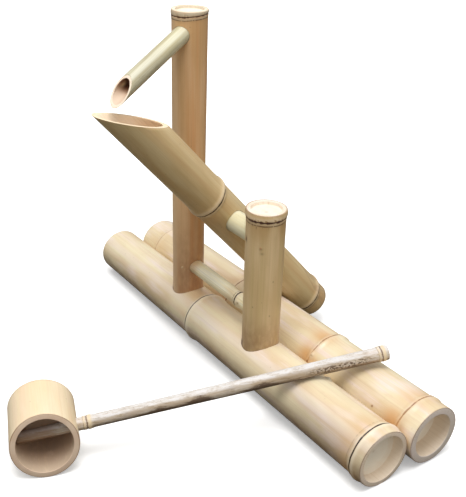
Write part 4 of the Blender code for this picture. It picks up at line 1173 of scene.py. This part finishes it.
class FOUNTAIN_OT_pins(bpy.types.Operator, FountainPiece):
    """Make the pins and dowels that hold the frame together."""
    bl_idname = "fountain.pins"
    bl_label = "Pins and dowels"

    def execute(self, context):
        settings = context.scene.fountain_pins
        fresh = wood("pin wood", settings.light, settings.dark, 2600.0)
        aged = wood("aged pin wood", tone(196, 156, 112), tone(150, 110, 74), 2600.0)
        dowel = wood("dowel wood", tone(226, 202, 164), tone(196, 162, 116), 1400.0)
        obj = make_pins("crossbar_pins", CROSSBAR_PINS, settings.pin_radius, fresh, 41.0)
        hand_over(obj, "frame", "pin_wood", "crossbar_pin_short", "crossbar_pin_tall")
        obj = make_pins("axle_pins", AXLE_PINS, settings.pin_radius, aged, 42.0)
        hand_over(obj, "frame", "pin_wood", "axle_pin_short", "axle_pin_tall")
        obj = make_pins("foot_pins", FOOT_PINS, settings.foot_radius, fresh, 43.0)
        hand_over(obj, "frame", "pin_wood", "foot_pin_short", "foot_pin_tall")
        rows = [(place, head, place, tip, height) for place, head, tip, height in DOWELS]
        obj = make_pins("pole_dowels", rows, settings.dowel_radius, dowel, 45.0)
        hand_over(obj, "frame", "dowel_wood", "pole_dowel_far", "pole_dowel_middle", "pole_dowel_near")
        return {"FINISHED"}


class FOUNTAIN_OT_stage(bpy.types.Operator, FountainPiece):
    """Make the floor, the light and the camera."""
    bl_idname = "fountain.stage"
    bl_label = "Stage"

    def execute(self, context):
        settings = context.scene.fountain_stage
        scene = context.scene
        mesh = bpy.data.meshes.new("floor")
        corners = ((-1, -1), (1, -1), (1, 1), (-1, 1))
        mesh.from_pydata([(x * FLOOR_REACH, y * FLOOR_REACH, -FLOOR_DROP) for x, y in corners], [], [(0, 1, 2, 3)])
        mesh.materials.append(floor_material(settings.floor))
        floor = new_object("floor", mesh)
        world = bpy.data.worlds.new("soft sky")
        world.use_nodes = True
        back = world.node_tree.nodes["Background"]
        back.inputs["Color"].default_value = WHITE
        graph = Graph(world.node_tree)
        strength = camera_ray(graph) * (1.0 - settings.sky) + settings.sky
        world.node_tree.links.new(strength.socket, back.inputs["Strength"])
        scene.world = world
        lamp = bpy.data.lights.new("overhead", "AREA")
        lamp.shape = "DISK"
        lamp.size = LAMP_SIZE
        lamp.energy = settings.key
        light = new_object("overhead", lamp)
        light.location = LAMP_PLACE
        light.rotation_euler = (-light.location).to_track_quat("-Z", "Y").to_euler()
        scene.camera = photo_camera(settings.focal)
        scene.view_settings.view_transform = "Standard"
        return {"FINISHED"}


def camera_ray(graph):
    """1 for what the camera sees directly and 0 for all other light."""
    return graph.out(graph.add("ShaderNodeLightPath"), "Is Camera Ray")


def floor_material(rgb):
    """White floor for the camera that still takes the shadow, greyer for the light it sends back."""
    material, shader, graph = new_material("floor")
    tree = material.node_tree
    tree.nodes.remove(shader)
    x, y, _ = graph.split(object_place(graph))
    far = (x * x + y * y).root().between(*FLOOR_GLOW)
    white = graph.add("ShaderNodeBsdfDiffuse", {"Color": (*rgb, 1.0)})
    lift = graph.add("ShaderNodeEmission", {"Color": WHITE, "Strength": far * 0.7 + 0.3})
    both = graph.add("ShaderNodeAddShader", {0: graph.out(white), 1: graph.out(lift)})
    grey = graph.add("ShaderNodeBsdfDiffuse", {"Color": FLOOR_BOUNCE})
    mixed = graph.add("ShaderNodeMixShader", {0: camera_ray(graph), 1: graph.out(grey), 2: graph.out(both)})
    tree.links.new(mixed.outputs[0], tree.nodes["Material Output"].inputs["Surface"])
    return material


def photo_camera(focal):
    """Camera at the photograph's viewing angle."""
    forward = Vector((-math.sin(CAMERA_TURN) * math.cos(CAMERA_DOWN),
                      math.cos(CAMERA_TURN) * math.cos(CAMERA_DOWN), -math.sin(CAMERA_DOWN)))
    right = Vector((math.cos(CAMERA_TURN), math.sin(CAMERA_TURN), 0.0))
    above = right.cross(forward)
    cos, sin = math.cos(CAMERA_ROLL), math.sin(CAMERA_ROLL)
    right, above = cos * right + sin * above, cos * above - sin * right
    data = bpy.data.cameras.new("photo camera")
    data.lens = focal
    data.sensor_width = SENSOR_WIDTH
    data.shift_x, data.shift_y = CAMERA_SHIFT
    camera = new_object("photo camera", data)
    pose = Matrix((right, above, -forward)).transposed().to_4x4()
    camera.matrix_world = Matrix.Translation(CAMERA_PLACE) @ pose
    return camera


class FOUNTAIN_PT_panel(bpy.types.Panel):
    """Lists the fountain's pieces."""
    bl_idname = "FOUNTAIN_PT_panel"
    bl_label = "Bamboo Fountain"
    bl_space_type = "VIEW_3D"
    bl_region_type = "UI"
    bl_category = "Fountain"

    def draw(self, context):
        for operator, group in OPERATORS:
            self.layout.operator(operator.bl_idname)
            settings = getattr(context.scene, group)
            for key in settings.__annotations__:
                self.layout.prop(settings, key)


GROUPS = {
    "fountain_poles": PoleSettings, "fountain_posts": PostSettings, "fountain_bars": BarSettings,
    "fountain_tube": TubeSettings, "fountain_ladle": LadleSettings, "fountain_pins": PinSettings,
    "fountain_stage": StageSettings,
}
OPERATORS = (
    (FOUNTAIN_OT_stage, "fountain_stage"), (FOUNTAIN_OT_poles, "fountain_poles"),
    (FOUNTAIN_OT_posts, "fountain_posts"), (FOUNTAIN_OT_bars, "fountain_bars"),
    (FOUNTAIN_OT_tube, "fountain_tube"), (FOUNTAIN_OT_spout, "fountain_bars"),
    (FOUNTAIN_OT_cup, "fountain_ladle"), (FOUNTAIN_OT_handle, "fountain_ladle"),
    (FOUNTAIN_OT_pins, "fountain_pins"),
)


def register():
    """Register every class and hang the settings on the scene."""
    for name, group in GROUPS.items():
        bpy.utils.register_class(group)
        setattr(bpy.types.Scene, name, bpy.props.PointerProperty(type=group))
    for operator, _ in OPERATORS:
        bpy.utils.register_class(operator)
    bpy.utils.register_class(FOUNTAIN_PT_panel)


def unregister():
    """Take everything off again."""
    bpy.utils.unregister_class(FOUNTAIN_PT_panel)
    for operator, _ in reversed(OPERATORS):
        bpy.utils.unregister_class(operator)
    for name, group in reversed(GROUPS.items()):
        delattr(bpy.types.Scene, name)
        bpy.utils.unregister_class(group)


def main():
    """Build the whole scene."""
    register()
    for operator, _ in OPERATORS:
        family, name = operator.bl_idname.split(".")
        getattr(getattr(bpy.ops, family), name)()


if __name__ == "__main__":
    main()
